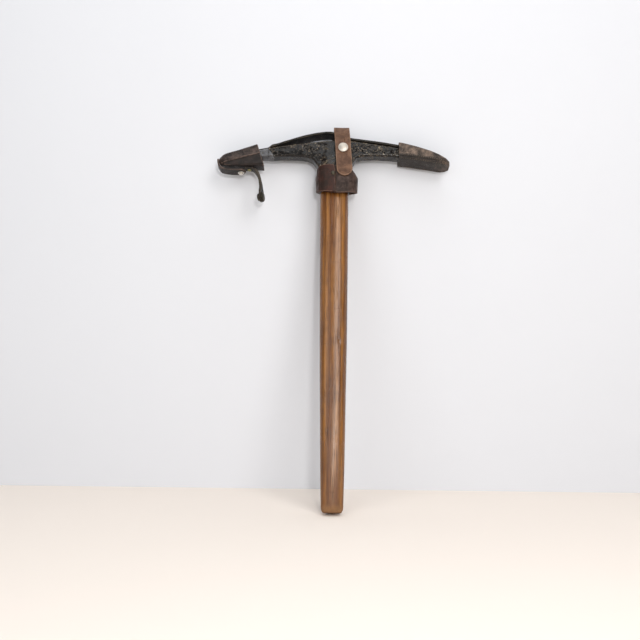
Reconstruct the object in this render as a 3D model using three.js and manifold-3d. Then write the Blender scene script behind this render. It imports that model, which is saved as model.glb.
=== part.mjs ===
// Ice axe with leather covers: an oval ash shaft, a forged head with a pick and an adze, a leather
// sheath on each blade, and a harness that holds them: a collar, a closing strap and a connecting strap.
// Millimetres. The foot's flat stands on z = 0, the shaft runs up +Z, the adze points along +X,
// the pick along -X, and the closing strap's snap faces -Y.
import * as THREE from 'three';
import { mergeVertices } from 'three/addons/utils/BufferGeometryUtils.js';
import Module from 'manifold-3d';

const wasm = await Module();
wasm.setup();

// ---------------------------------------------------------------- driving dimensions
// Shaft
const SHAFT_LENGTH = 436; // foot to the shoulder below the socket
const SHAFT_TOP_WIDTH = 39.4;
const SHAFT_TOP_DEPTH = 30;
const SHAFT_FOOT_WIDTH = 28.4;
const SHAFT_FOOT_DEPTH = 23;
const SHAFT_BELLY = 2.2; // how far the middle stands outside a straight taper
const FOOT_ROUND = 7; // height of the rounding at the foot
const FOOT_ROUND_IN = 3.85; // how far the rounding cuts in
const TENON_LENGTH = 46;
const TENON_STEP = 1.7; // shoulder around the tenon

// Head. Heights are measured up from the socket's lower rim.
const SOCKET_WALL = 2.7;
const HEAD_DEPTH = 18;
const ARM_REACH = 92; // from the shaft's axis to the pick's shoulder and to the adze's root
const PICK_REACH = 154;
const ADZE_REACH = 153;
const CROWN_HEIGHT = 80.2;
const ARM_END_TOP = 68; // top of both arms at their reach
const ARM_END_HEIGHT = 15;
const PICK_TIP_HEIGHT = 46;
const ADZE_TIP_HEIGHT = 46.7;
const NECK_HEIGHT = 36; // straight part of the neck
const PICK_STEP = 1.1; // how much smaller the pick is than the arm at its shoulder
const PICK_TIP_HALF = 1.8;
const ADZE_TIP_HALF = 1.5;
const ADZE_EDGE_DEPTH = 22;

// Leather
const LEATHER = 2.6;
const STRAP_THICKNESS = 3; // connecting strap
const TAIL_THICKNESS = 2.2; // the part of it that is thinned to lie under the pick's sheath
const CONNECTING_WIDTH = 20;
const TAIL_WIDTH = 9;
const ARCH_RISE = 10; // how far the connecting strap has bowed up off the head
const ARCH_PEAK_X = -12;
const CLOSING_WIDTH = 21.5;
const CLOSING_X = 11.5; // middle of the closing strap
const CLOSING_LEAN = 0.06; // sideways drift of the strap per unit of height
const FLAP_SPLIT_Y = -12;
const FLAP_END_HEIGHT = 16;
const TAB_THICKNESS = 2.2;
const TAB_WIDTH = 13;
const TAB_FOOT_HEIGHT = 12;
const TAB_FOOT_X = 2;
const TAB_TOP_HEIGHT = 69;
const COLLAR_DROP = 8; // how far the collar hangs below the socket
const COLLAR_TOP_HEIGHT = 33;
const COLLAR_SIDE_ROOM = 8.7; // socket to the collar's outer face, left and right
const COLLAR_SLACK = 0.9; // how far the collar's front stands off the tab and rivets inside it
const COLLAR_BACK_RISE = 19; // how much shorter the collar is at its back
const COLLAR_X = 3.4; // the collar sits a little towards the adze
const LAP_ANGLE = -94; // where the collar's outer end lies, in degrees about the shaft
const LAP_STEP_ANGLE = 26; // over which the outer end steps out over the inner one
const COLLAR_LAP = 26; // overlap of its two ends, in degrees
const COLLAR_SQUARENESS = 2.8; // 2 is an oval, more is squarer

// Sheaths
const PICK_MOUTH_X = 104;
const ADZE_MOUTH_X = 90;
const PICK_SHEATH_HALF = 13.5;
const PICK_MOUTH_SLANT = 0.32; // the mouth leans back, sideways run per unit of height
const PICK_NOSE_RISE = 8.6; // top of the sheath's blunt nose above the pick's tip
const PICK_NOSE_DROP = 6.4;
const PICK_SHEATH_DROP = 19; // how far the pick's sheath hangs below the pick at its mouth
const ADZE_SHEATH_HALF = 15.5;
const SHEATH_NOSE = 8; // leather past each blade's tip
const SEAM_GAP = 0.3;
const PICK_STRAP_WIDTH = 10;
const PICK_STRAP_BEND = 5.2; // from the rivet to where the strap hangs free
const PICK_SNAP_DROP = 43; // from the strap's rivet down to its snap
const PICK_STRAP_THICKNESS = 2.4;
const PADDLE_WIDTH = 15;
const PICK_STRAP_TWIST = 0.45; // radians, from its root to its end
const TONGUE_WIDTH = 17;
const TONGUE_GAP = 6.6; // from the sheath's underside to the tongue's middle

// Hardware
const SNAP_HEIGHT = 60;
const SNAP_CAP_RADIUS = 7;
const SNAP_BALL_RADIUS = 3.1;
const SNAP_BALL_HEIGHT = 2.2;
const SNAP_BASE_RADIUS = 4.6;
const SNAP_SHANK_RADIUS = 1.7;
const SNAP_PLATE = 0.8;
const SNAP_STANDOFF = 0.2; // a cap's or stud's plate off the leather
const SOCKET_STANDOFF = 0.35;
const POST_STANDOFF = 0.5;
const SOCKET_RIVET_RADIUS = 2.5;
const SOCKET_RIVET_HEAD = 4.2;
const SOCKET_RIVET_HEIGHTS = [8, 25];
const STRAP_RIVET_RADIUS = 1.4;
const STRAP_RIVET_HEAD = 3.2;
const RIVET_HEAD_HEIGHT = 1.2;

// Fits
const GAP = 0.3; // between pieces that touch
const PIN_CLEARANCE = 0.25; // radial, around a rivet or a snap's shank
const LOOSE = 0.6; // between a blade and what slides over it

const STRAP_TIP_HALF = 1.2;
const ROUND_STEPS = 20;
const OVAL_POINTS = 28;

// ---------------------------------------------------------------- materials
const paint = (color, roughness, metalness) => {
  return new THREE.MeshStandardMaterial({ color, roughness, metalness });
};
const ash = () => paint(0x8a5d33, 0.6, 0);
const blackSteel = () => paint(0x23252a, 0.35, 0.8);
const steel = () => paint(0x77777a, 0.45, 0.9);
const brownLeather = () => paint(0x5d4334, 0.7, 0);
const darkLeather = () => paint(0x2c2522, 0.65, 0);
const nickel = () => paint(0xd8d4cc, 0.25, 0.9);
const brass = () => paint(0x8d8a55, 0.45, 0.9);

// ---------------------------------------------------------------- geometry helpers
const mix = (a, b, t) => a + (b - a) * t;
const clamp01 = (t) => Math.min(1, Math.max(0, t));
const v3 = (x, y, z) => new THREE.Vector3(x, y, z);

// A smooth line through [x, height] points that are listed by rising x.
function smoothLine(points) {
  const slope = (i) => {
    const low = points[Math.max(0, i - 1)];
    const high = points[Math.min(points.length - 1, i + 1)];
    return (high[1] - low[1]) / (high[0] - low[0]);
  };
  return (x) => {
    let i = points.findIndex((point) => x <= point[0]) - 1;
    if (i < 0) i = x <= points[0][0] ? 0 : points.length - 2;
    const [x0, z0] = points[i];
    const [x1, z1] = points[i + 1];
    const run = x1 - x0;
    const t = clamp01((x - x0) / run);
    const t2 = t * t;
    const t3 = t2 * t;
    const start = (2 * t3 - 3 * t2 + 1) * z0 + (t3 - 2 * t2 + t) * run * slope(i);
    return start + (3 * t2 - 2 * t3) * z1 + (t3 - t2) * run * slope(i + 1);
  };
}

function geometryOf(vertices, faces) {
  const volume = faces.reduce((sum, [a, b, c]) => {
    return sum + vertices[a].dot(v3(0, 0, 0).crossVectors(vertices[b], vertices[c]));
  }, 0);
  const turned = volume < 0 ? faces.map(([a, b, c]) => [a, c, b]) : faces;
  const geometry = new THREE.BufferGeometry();
  const positions = vertices.flatMap((vertex) => [vertex.x, vertex.y, vertex.z]);
  geometry.setAttribute('position', new THREE.Float32BufferAttribute(positions, 3));
  geometry.setIndex(turned.flat());
  return geometry;
}

// A closed solid through rings of points; outline is the first ring in its own flat plane.
function loft(rings, outline) {
  const count = outline.length;
  const last = (rings.length - 1) * count;
  const faces = [];
  for (let i = 0; i < rings.length - 1; i += 1) {
    for (let j = 0; j < count; j += 1) {
      const a = i * count + j;
      const b = i * count + ((j + 1) % count);
      faces.push([a, b, b + count], [a, b + count, a + count]);
    }
  }
  const flat = outline.map(([u, v]) => new THREE.Vector2(u, v));
  THREE.ShapeUtils.triangulateShape(flat, []).forEach(([a, b, c]) => {
    faces.push([a, c, b], [last + a, last + b, last + c]);
  });
  return geometryOf(rings.flat(), faces);
}

function bareOf(geometry) {
  const bare = geometry.clone();
  bare.deleteAttribute('normal');
  bare.deleteAttribute('uv');
  return bare;
}

function toSolid(geometry) {
  const merged = mergeVertices(bareOf(geometry), 1e-4);
  return new wasm.Manifold(new wasm.Mesh({
    numProp: 3,
    vertProperties: new Float32Array(merged.attributes.position.array),
    triVerts: new Uint32Array(merged.index.array),
  }));
}

function fromSolid(solid) {
  const mesh = solid.getMesh();
  const geometry = new THREE.BufferGeometry();
  geometry.setAttribute('position', new THREE.Float32BufferAttribute(mesh.vertProperties, 3));
  geometry.setIndex(Array.from(mesh.triVerts));
  return geometry;
}

const join = (...parts) => fromSolid(parts.map(toSolid).reduce((whole, next) => whole.add(next)));

function cut(base, ...tools) {
  return fromSolid(tools.map(toSolid).reduce((whole, next) => whole.subtract(next), toSolid(base)));
}

// A round solid about +Z from [radius, height] points; it starts and ends on the axis or closes on itself.
function turned(profile) {
  const geometry = new THREE.LatheGeometry(profile.map(([r, z]) => new THREE.Vector2(r, z)), ROUND_STEPS);
  geometry.rotateX(Math.PI / 2);
  const solid = mergeVertices(bareOf(geometry), 1e-4);
  const position = solid.attributes.position;
  const vertices = Array.from({ length: position.count }, (_, i) => {
    return v3(0, 0, 0).fromBufferAttribute(position, i);
  });
  const index = Array.from(solid.index.array);
  const faces = [];
  for (let i = 0; i < index.length; i += 3) {
    const face = index.slice(i, i + 3);
    if (new Set(face).size === 3) faces.push(face);
  }
  return geometryOf(vertices, faces);
}

const pin = (radius, low, high) => turned([[0, low], [radius, low], [radius, high], [0, high]]);

// Where a piece sits on a strap: its origin in the leather's middle, its +Z out of the outer side.
function seatOn(strap, t) {
  const { point, along, out } = strap.frame(t);
  const side = v3(0, 0, 0).crossVectors(out, along).negate();
  const matrix = new THREE.Matrix4().makeBasis(side, v3(0, 0, 0).crossVectors(out, side), out);
  return matrix.setPosition(point);
}

function oval(halfX, halfY, points = OVAL_POINTS, power = 2.3) {
  return Array.from({ length: points }, (_, i) => {
    const angle = (2 * Math.PI * i) / points;
    const c = Math.cos(angle);
    const s = Math.sin(angle);
    return [
      halfX * Math.sign(c) * Math.abs(c) ** (2 / power),
      halfY * Math.sign(s) * Math.abs(s) ** (2 / power),
    ];
  });
}

// A solid that stands along Z, through levels of { z, halfX, halfY, x, y }.
function standing(levels) {
  const rings = levels.map(({ z, halfX, halfY, x = 0, y = 0 }) => {
    return oval(halfX, halfY).map(([u, v]) => v3(u + x, v + y, z));
  });
  return loft(rings, oval(levels[0].halfX, levels[0].halfY));
}

// A solid that lies along X; section(x) gives its outline as [y, z] points.
function lying(stations, section) {
  const rings = stations.map((x) => section(x).map(([y, z]) => v3(x, y, z)));
  return loft(rings, section(stations[0]));
}

const span = (from, to, steps) => Array.from({ length: steps + 1 }, (_, i) => mix(from, to, i / steps));

function chamferedBox(half, low, high, corner) {
  return [
    [-half + corner, low], [half - corner, low], [half, low + corner], [half, high - corner],
    [half - corner, high], [-half + corner, high], [-half, high - corner], [-half, low + corner],
  ];
}

// A flat strap along a curve. flat runs across its width at the start; halfWidth(t, length) gives
// half its width, and twist turns it about its own length, more and more towards the end.
function makeStrap(points, flat, halfWidth, thickness, steps, twist = 0) {
  const curve = new THREE.CatmullRomCurve3(points, false, 'centripetal');
  const length = curve.getLength();
  const frame = (t) => {
    const along = curve.getTangentAt(t);
    const side = flat.clone().applyAxisAngle(along, twist * t * t);
    const out = v3(0, 0, 0).crossVectors(along, side).normalize();
    return { point: curve.getPointAt(t), along, side, out };
  };
  const half = thickness / 2;
  const corners = (width) => [[-width, -half], [width, -half], [width, half], [-width, half]];
  const rings = span(0, 1, steps).map((t) => {
    const { point, side, out } = frame(t);
    return corners(halfWidth(t, length)).map(([u, v]) => {
      return point.clone().addScaledVector(side, u).addScaledVector(out, v);
    });
  });
  return { frame, geometry: loft(rings, corners(halfWidth(0, length))) };
}

// Half width of a strap whose end is a half circle, cut off square at the very tip.
function roundEnd(half) {
  return (t, length) => {
    const left = (1 - t) * length;
    const inside = clamp01((half - left) / half);
    return Math.max(STRAP_TIP_HALF, half * Math.sqrt(1 - inside * inside));
  };
}

const holeThrough = (strap, t, radius, reach) => pin(radius, -reach, reach).applyMatrix4(seatOn(strap, t));

// ---------------------------------------------------------------- lines that several pieces follow
const SOCKET_BASE = SHAFT_LENGTH + GAP; // the head's own zero height
const TENON_HALF_X = SHAFT_TOP_WIDTH / 2 - TENON_STEP;
const TENON_HALF_Y = SHAFT_TOP_DEPTH / 2 - TENON_STEP;
const SOCKET_HALF_X = TENON_HALF_X + GAP + SOCKET_WALL;
const SOCKET_HALF_Y = TENON_HALF_Y + GAP + SOCKET_WALL;

const headTop = smoothLine([
  [-PICK_REACH, PICK_TIP_HEIGHT + PICK_TIP_HALF],
  [-mix(ARM_REACH, PICK_REACH, 0.6), mix(ARM_END_TOP, PICK_TIP_HEIGHT, 0.5) + PICK_STEP],
  [-ARM_REACH, ARM_END_TOP - PICK_STEP],
  [-ARM_REACH / 2, mix(CROWN_HEIGHT, ARM_END_TOP, 0.45)],
  [0, CROWN_HEIGHT],
  [24, CROWN_HEIGHT - 0.9],
  [ARM_REACH, ARM_END_TOP + PICK_STEP],
  [mix(ARM_REACH, ADZE_REACH, 0.6), mix(ARM_END_TOP, ADZE_TIP_HEIGHT, 0.47) + PICK_STEP],
  [ADZE_REACH, ADZE_TIP_HEIGHT + ADZE_TIP_HALF],
]);

const headBottom = smoothLine([
  [-PICK_REACH, PICK_TIP_HEIGHT - PICK_TIP_HALF],
  [-mix(ARM_REACH, PICK_REACH, 0.55), mix(ARM_END_TOP - ARM_END_HEIGHT, PICK_TIP_HEIGHT, 0.35)],
  [-ARM_REACH, ARM_END_TOP - ARM_END_HEIGHT],
  [-mix(SOCKET_HALF_X, ARM_REACH, 0.4), ARM_END_TOP - ARM_END_HEIGHT + 0.8],
  [-SOCKET_HALF_X - 13, ARM_END_TOP - ARM_END_HEIGHT - 1.5],
  [-SOCKET_HALF_X - 5, NECK_HEIGHT + 9],
  [-SOCKET_HALF_X, NECK_HEIGHT],
  [SOCKET_HALF_X, NECK_HEIGHT],
  [SOCKET_HALF_X + 4, NECK_HEIGHT + 11],
  [SOCKET_HALF_X + 11, ARM_END_TOP - ARM_END_HEIGHT + 0.5],
  [mix(SOCKET_HALF_X, ARM_REACH, 0.45), ARM_END_TOP - ARM_END_HEIGHT + 3],
  [ARM_REACH, ARM_END_TOP - ARM_END_HEIGHT + 1],
  [mix(ARM_REACH, ADZE_REACH, 0.6), mix(ARM_END_TOP - ARM_END_HEIGHT, ADZE_TIP_HEIGHT, 0.6)],
  [ADZE_REACH, ADZE_TIP_HEIGHT - ADZE_TIP_HALF],
]);

// Half depth of the neck's front and back, by height.
const NECK_MIDDLE = mix(NECK_HEIGHT, CROWN_HEIGHT, 0.4);
const NECK_TOP = CROWN_HEIGHT - 4;
function neckHalfY(z) {
  const middle = mix(SOCKET_HALF_Y, HEAD_DEPTH / 2, 0.5);
  if (z > NECK_MIDDLE) {
    return mix(middle, HEAD_DEPTH / 2, (z - NECK_MIDDLE) / (NECK_TOP - NECK_MIDDLE));
  }
  return mix(SOCKET_HALF_Y, middle, clamp01((z - NECK_HEIGHT) / (NECK_MIDDLE - NECK_HEIGHT)));
}

// Half depth of the head along X: the arms, the pick that tapers to its point and the adze that widens.
function headHalfDepth(x) {
  if (x < -ARM_REACH) {
    const t = (-x - ARM_REACH) / (PICK_REACH - ARM_REACH);
    return mix(HEAD_DEPTH / 2 - PICK_STEP, PICK_TIP_HALF, t * t);
  }
  if (x > ARM_REACH) {
    const t = (x - ARM_REACH) / (ADZE_REACH - ARM_REACH);
    return mix(HEAD_DEPTH, ADZE_EDGE_DEPTH, t) / 2 * Math.sqrt(1 - 0.4 * t ** 8);
  }
  return HEAD_DEPTH / 2;
}

// Underside of the connecting strap: it lies on the head but for its arch, which climbs quickly
// from the pick's side and comes down under the closing strap.
const ARCH_START = -ARM_REACH + 6;
const ARCH_END = CLOSING_X + CLOSING_WIDTH / 2 + 4;
function strapBed(x) {
  const climb = Math.sin(clamp01((x - ARCH_START) / (ARCH_PEAK_X - ARCH_START)) * Math.PI / 2) ** 1.2;
  const fall = clamp01((ARCH_END - x) / (ARCH_END - ARCH_PEAK_X));
  const rise = x < ARCH_PEAK_X ? climb : 0.5 - 0.5 * Math.cos(Math.PI * fall);
  return headTop(x) + GAP + ARCH_RISE * rise;
}

const CLOSING_BED = strapBed(ARCH_PEAK_X) + STRAP_THICKNESS + LOOSE; // underside of the closing strap's top

// ---------------------------------------------------------------- shaft and head
function shaft() {
  const tenonHoles = SOCKET_RIVET_HEIGHTS.map((height) => {
    const hole = pin(SOCKET_RIVET_RADIUS + PIN_CLEARANCE, -SHAFT_TOP_DEPTH, SHAFT_TOP_DEPTH);
    return hole.rotateX(Math.PI / 2).translate(0, 0, SOCKET_BASE + height);
  });
  const halfAt = (z, foot, top) => {
    const t = z / SHAFT_LENGTH;
    return mix(foot, top, t) / 2 + SHAFT_BELLY * Math.sin(Math.PI * t) / 2;
  };
  const roundInset = (part) => FOOT_ROUND_IN * (1 - Math.sqrt(1 - (1 - part) ** 2));
  const levels = [0, 0.3, 0.6, 1].map((part) => {
    const z = FOOT_ROUND * part;
    const inset = roundInset(Math.max(part, 0.06));
    return {
      z,
      halfX: halfAt(z, SHAFT_FOOT_WIDTH, SHAFT_TOP_WIDTH) - inset,
      halfY: halfAt(z, SHAFT_FOOT_DEPTH, SHAFT_TOP_DEPTH) - inset,
    };
  });
  span(FOOT_ROUND, SHAFT_LENGTH, 7).slice(1).forEach((z) => {
    levels.push({
      z,
      halfX: halfAt(z, SHAFT_FOOT_WIDTH, SHAFT_TOP_WIDTH),
      halfY: halfAt(z, SHAFT_FOOT_DEPTH, SHAFT_TOP_DEPTH),
    });
  });
  levels.push({ z: SHAFT_LENGTH, halfX: TENON_HALF_X, halfY: TENON_HALF_Y });
  levels.push({ z: SHAFT_LENGTH + TENON_LENGTH, halfX: TENON_HALF_X, halfY: TENON_HALF_Y });
  return cut(standing(levels), ...tenonHoles);
}

function head() {
  const shoulder = 0.8;
  const stations = [
    ...span(-PICK_REACH, -ARM_REACH - shoulder, 7),
    ...span(-ARM_REACH, ARM_REACH, 24),
    ...span(ARM_REACH, ADZE_REACH, 7).slice(1),
  ];
  const bar = lying(stations, (x) => {
    const low = headBottom(x);
    const high = headTop(x);
    const half = headHalfDepth(x);
    const corner = Math.min(2, (high - low) * 0.22, half * 0.3);
    return chamferedBox(half, low, high, corner);
  });
  const neck = standing([
    { z: 0, halfX: SOCKET_HALF_X, halfY: neckHalfY(0) },
    { z: NECK_HEIGHT, halfX: SOCKET_HALF_X, halfY: neckHalfY(NECK_HEIGHT) },
    { z: NECK_MIDDLE, halfX: SOCKET_HALF_X + 1, halfY: neckHalfY(NECK_MIDDLE) },
    { z: NECK_TOP, halfX: SOCKET_HALF_X + 3, halfY: neckHalfY(NECK_TOP) + 0.1 },
  ]);
  const bore = standing([
    { z: -1, halfX: TENON_HALF_X + GAP, halfY: TENON_HALF_Y + GAP },
    { z: TENON_LENGTH, halfX: TENON_HALF_X + GAP, halfY: TENON_HALF_Y + GAP },
  ]);
  const rivetHoles = SOCKET_RIVET_HEIGHTS.map((height) => {
    const hole = pin(SOCKET_RIVET_RADIUS + PIN_CLEARANCE, -SHAFT_TOP_DEPTH, SHAFT_TOP_DEPTH);
    return hole.rotateX(Math.PI / 2).translate(0, 0, height);
  });
  return cut(join(bar, neck), bore, ...rivetHoles);
}

function socketRivet() {
  const face = SOCKET_HALF_Y + GAP;
  const top = face + RIVET_HEAD_HEIGHT;
  return turned([
    [0, -top], [SOCKET_RIVET_HEAD * 0.6, -top], [SOCKET_RIVET_HEAD, -face], [SOCKET_RIVET_RADIUS, -face],
    [SOCKET_RIVET_RADIUS, face], [SOCKET_RIVET_HEAD, face], [SOCKET_RIVET_HEAD * 0.6, top], [0, top],
  ]).rotateX(Math.PI / 2);
}

// ---------------------------------------------------------------- snaps and small rivets
// Each stands on a strap's middle plane, with +Z out of the strap's outer side.
function snapCap(thickness) {
  const face = thickness / 2 + SNAP_STANDOFF;
  return turned([
    [0, -face], [SNAP_SHANK_RADIUS, -face], [SNAP_SHANK_RADIUS, face], [SNAP_CAP_RADIUS - 0.4, face],
    [SNAP_CAP_RADIUS, face + 0.6], [SNAP_CAP_RADIUS - 1.2, face + 1.6], [SNAP_CAP_RADIUS * 0.5, face + 2.1],
    [0, face + 2.3],
  ]);
}

function snapSocket(thickness) {
  const face = -thickness / 2 - SOCKET_STANDOFF;
  const mouth = face - SNAP_PLATE - SNAP_BALL_HEIGHT;
  const throat = SNAP_BALL_RADIUS + GAP;
  return turned([
    [SNAP_SHANK_RADIUS + PIN_CLEARANCE, face], [SNAP_SHANK_RADIUS + PIN_CLEARANCE, face - SNAP_PLATE],
    [throat, face - SNAP_PLATE], [throat, mouth], [SNAP_BASE_RADIUS + 0.4, mouth],
    [SNAP_BASE_RADIUS + 0.8, mouth + 1], [SNAP_BASE_RADIUS + 0.8, face],
    [SNAP_SHANK_RADIUS + PIN_CLEARANCE, face],
  ]);
}

function snapStud(thickness) {
  const face = thickness / 2 + SNAP_STANDOFF;
  const plate = face + SNAP_PLATE;
  return turned([
    [0, -face], [SNAP_SHANK_RADIUS, -face], [SNAP_SHANK_RADIUS, face], [SNAP_BASE_RADIUS, face],
    [SNAP_BASE_RADIUS, plate], [SNAP_BALL_RADIUS * 0.85, plate],
    [SNAP_BALL_RADIUS, plate + SNAP_BALL_HEIGHT * 0.6],
    [SNAP_BALL_RADIUS * 0.7, plate + SNAP_BALL_HEIGHT], [0, plate + SNAP_BALL_HEIGHT],
  ]);
}

function snapPost(thickness) {
  const face = -thickness / 2 - POST_STANDOFF;
  return pin(SNAP_BASE_RADIUS - 0.4, face - SNAP_PLATE, face);
}

// A rivet from height low to height high, with a domed head outside each.
function strapRivet(low, high) {
  const head = STRAP_RIVET_HEAD;
  const bottom = low - GAP;
  const top = high + GAP;
  return turned([
    [0, bottom - RIVET_HEAD_HEIGHT], [head * 0.6, bottom - RIVET_HEAD_HEIGHT], [head, bottom],
    [STRAP_RIVET_RADIUS, bottom], [STRAP_RIVET_RADIUS, top], [head, top],
    [head * 0.6, top + RIVET_HEAD_HEIGHT], [0, top + RIVET_HEAD_HEIGHT],
  ]);
}

// ---------------------------------------------------------------- collar, tab and closing strap
const COLLAR_HALF_X = SOCKET_HALF_X + COLLAR_SIDE_ROOM;
// The collar's front holds, from the socket outwards: rivet head, tab and the collar's own leather.
const COLLAR_BULGE_Y = SOCKET_HALF_Y + GAP + RIVET_HEAD_HEIGHT + LOOSE + TAB_THICKNESS + GAP + LEATHER
  + COLLAR_SLACK;
const COLLAR_LEVELS = [
  { z: -COLLAR_DROP, halfX: COLLAR_HALF_X - 1, halfY: COLLAR_BULGE_Y - 1.2, x: COLLAR_X },
  {
    z: mix(-COLLAR_DROP, COLLAR_TOP_HEIGHT, 0.64),
    halfX: COLLAR_HALF_X,
    halfY: COLLAR_BULGE_Y,
    x: COLLAR_X,
  },
  {
    z: mix(-COLLAR_DROP, COLLAR_TOP_HEIGHT, 0.82),
    halfX: mix(SOCKET_HALF_X + GAP + LEATHER, COLLAR_HALF_X, 0.62),
    halfY: COLLAR_BULGE_Y - 0.6,
    x: COLLAR_X * 0.7,
  },
  {
    z: COLLAR_TOP_HEIGHT,
    halfX: SOCKET_HALF_X + GAP + LEATHER + 1,
    halfY: SOCKET_HALF_Y + 3 * GAP + TAB_THICKNESS + LEATHER + 2,
    x: 0,
  },
];

const collarBack = { y: COLLAR_BULGE_Y + 2 * GAP, z: 20 };
const collarRivet = { x: -2.2, z: 19 };

// The collar is one strip: it starts under its own outer end and runs round once and a little more.
function collar(rivetHole, backHole) {
  const wall = [
    ...COLLAR_LEVELS.map((level) => ({ ...level, inset: 0 })),
    ...[...COLLAR_LEVELS].reverse().map((level) => ({ ...level, inset: LEATHER })),
  ];
  const outline = wall.map(({ z, halfX, inset }) => [halfX - inset, z]);
  const start = LAP_ANGLE - COLLAR_LAP;
  const turn = 360 + COLLAR_LAP;
  const stepStart = turn - COLLAR_LAP - 30;
  const steps = 44;
  const power = COLLAR_SQUARENESS;
  const rings = span(0, 1, steps).map((t) => {
    const degrees = t * turn;
    const step = (LEATHER + GAP) * clamp01((degrees - stepStart) / LAP_STEP_ANGLE);
    const radians = THREE.MathUtils.degToRad(start + degrees);
    const c = Math.cos(radians);
    const d = Math.sin(radians);
    const bulge = (Math.abs(c) ** power + Math.abs(d) ** power) ** (-1 / power);
    const backRise = COLLAR_BACK_RISE * (0.5 + 0.5 * d);
    return wall.map(({ z, halfX, halfY, x, inset }) => {
      const reach = step - inset;
      const low = (COLLAR_TOP_HEIGHT - z) / (COLLAR_TOP_HEIGHT + COLLAR_DROP);
      return v3(x + (halfX + reach) * c * bulge, (halfY + reach) * d * bulge, z + backRise * low);
    });
  });
  return cut(loft(rings, outline), rivetHole, backHole);
}

const closingX = (z) => CLOSING_X + (SNAP_HEIGHT - z) * CLOSING_LEAN;
const across = (y, z) => v3(closingX(z), y, z);
const ALONG_X = v3(1, 0, 0);
const ALONG_MINUS_X = v3(-1, 0, 0);
const ALONG_Y = v3(0, 1, 0);
const closingTopMid = CLOSING_BED + LEATHER / 2;
const TAB_FOOT_Y = -COLLAR_BULGE_Y + LEATHER + GAP + TAB_THICKNESS / 2 + COLLAR_SLACK;
const FLAP_END_Y = -COLLAR_BULGE_Y - GAP - LEATHER / 2;

// The stack at the snap, out from the head: tab, stud, socket, flap and cap.
const snapBackY = -neckHalfY(SNAP_HEIGHT - SNAP_BASE_RADIUS) - GAP;
const snapTabY = snapBackY - SNAP_PLATE - POST_STANDOFF - TAB_THICKNESS / 2;
const studPlateY = snapTabY - TAB_THICKNESS / 2 - SNAP_STANDOFF - SNAP_PLATE;
const snapFlapY = studPlateY - GAP - SNAP_BALL_HEIGHT - SNAP_PLATE - SOCKET_STANDOFF - LEATHER / 2;

function makeTab() {
  const flat = SNAP_BASE_RADIUS;
  const points = [
    v3(TAB_FOOT_X, TAB_FOOT_Y, TAB_FOOT_HEIGHT),
    v3(TAB_FOOT_X + 1, TAB_FOOT_Y, TAB_FOOT_HEIGHT + 10),
    v3(TAB_FOOT_X + 2, TAB_FOOT_Y + 0.6, COLLAR_TOP_HEIGHT - 3),
    v3(TAB_FOOT_X + 4, -SOCKET_HALF_Y - TAB_THICKNESS / 2, NECK_HEIGHT + 4),
    v3(closingX(SNAP_HEIGHT), snapTabY, SNAP_HEIGHT - flat),
    v3(closingX(SNAP_HEIGHT), snapTabY, SNAP_HEIGHT),
    v3(closingX(SNAP_HEIGHT), snapTabY, SNAP_HEIGHT + flat),
    v3(closingX(SNAP_HEIGHT), snapTabY + 0.3, TAB_TOP_HEIGHT),
  ];
  return makeStrap(points, ALONG_MINUS_X, roundEnd(TAB_WIDTH / 2), TAB_THICKNESS, 24);
}

function makeFlap() {
  const points = [
    across(FLAP_SPLIT_Y - GAP, closingTopMid),
    across(FLAP_SPLIT_Y - 1.5, closingTopMid),
    across(FLAP_SPLIT_Y - 5, closingTopMid - 1.2),
    across(snapFlapY + 1.4, closingTopMid - 10),
    across(snapFlapY, SNAP_HEIGHT + SNAP_CAP_RADIUS + 1),
    across(snapFlapY, SNAP_HEIGHT),
    across(snapFlapY, SNAP_HEIGHT - SNAP_CAP_RADIUS - 1),
    across(FLAP_END_Y + 1.2, COLLAR_TOP_HEIGHT + 5),
    across(FLAP_END_Y, COLLAR_TOP_HEIGHT - 5),
    across(FLAP_END_Y, FLAP_END_HEIGHT),
  ];
  return makeStrap(points, ALONG_X, roundEnd(CLOSING_WIDTH / 2), LEATHER, 26);
}

function makeStrapBack() {
  const outside = collarBack.y + LEATHER / 2;
  const points = [
    across(outside, collarBack.z - 8),
    across(outside, collarBack.z + 2),
    across(outside - 1.2, COLLAR_TOP_HEIGHT + 3),
    across(SOCKET_HALF_Y + 2, NECK_HEIGHT + 20),
    across(CONNECTING_WIDTH / 2 + 3.4, closingTopMid - 8),
    across(CONNECTING_WIDTH / 2 - 0.6, closingTopMid),
    across(FLAP_SPLIT_Y + 3, closingTopMid),
    across(FLAP_SPLIT_Y, closingTopMid),
  ];
  return makeStrap(points, ALONG_X, () => CLOSING_WIDTH / 2, LEATHER, 28);
}

// ---------------------------------------------------------------- connecting strap
const STRAP_ADZE_END = ADZE_MOUTH_X + 22;
const STRAP_PICK_END = PICK_MOUTH_X + 12;

function connectingStrap() {
  const stations = [
    ...span(-STRAP_PICK_END, -ARM_REACH - 2, 3),
    ...span(-ARM_REACH + 4, ARM_REACH, 26),
    ...span(ARM_REACH, STRAP_ADZE_END, 3).slice(1),
  ];
  return lying(stations, (x) => {
    const wide = clamp01((x + ARM_REACH + 2) / 6);
    const half = mix(TAIL_WIDTH, CONNECTING_WIDTH, wide) / 2;
    const low = strapBed(x);
    return chamferedBox(half, low, low + mix(TAIL_THICKNESS, STRAP_THICKNESS, wide), 0.5);
  });
}

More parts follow.
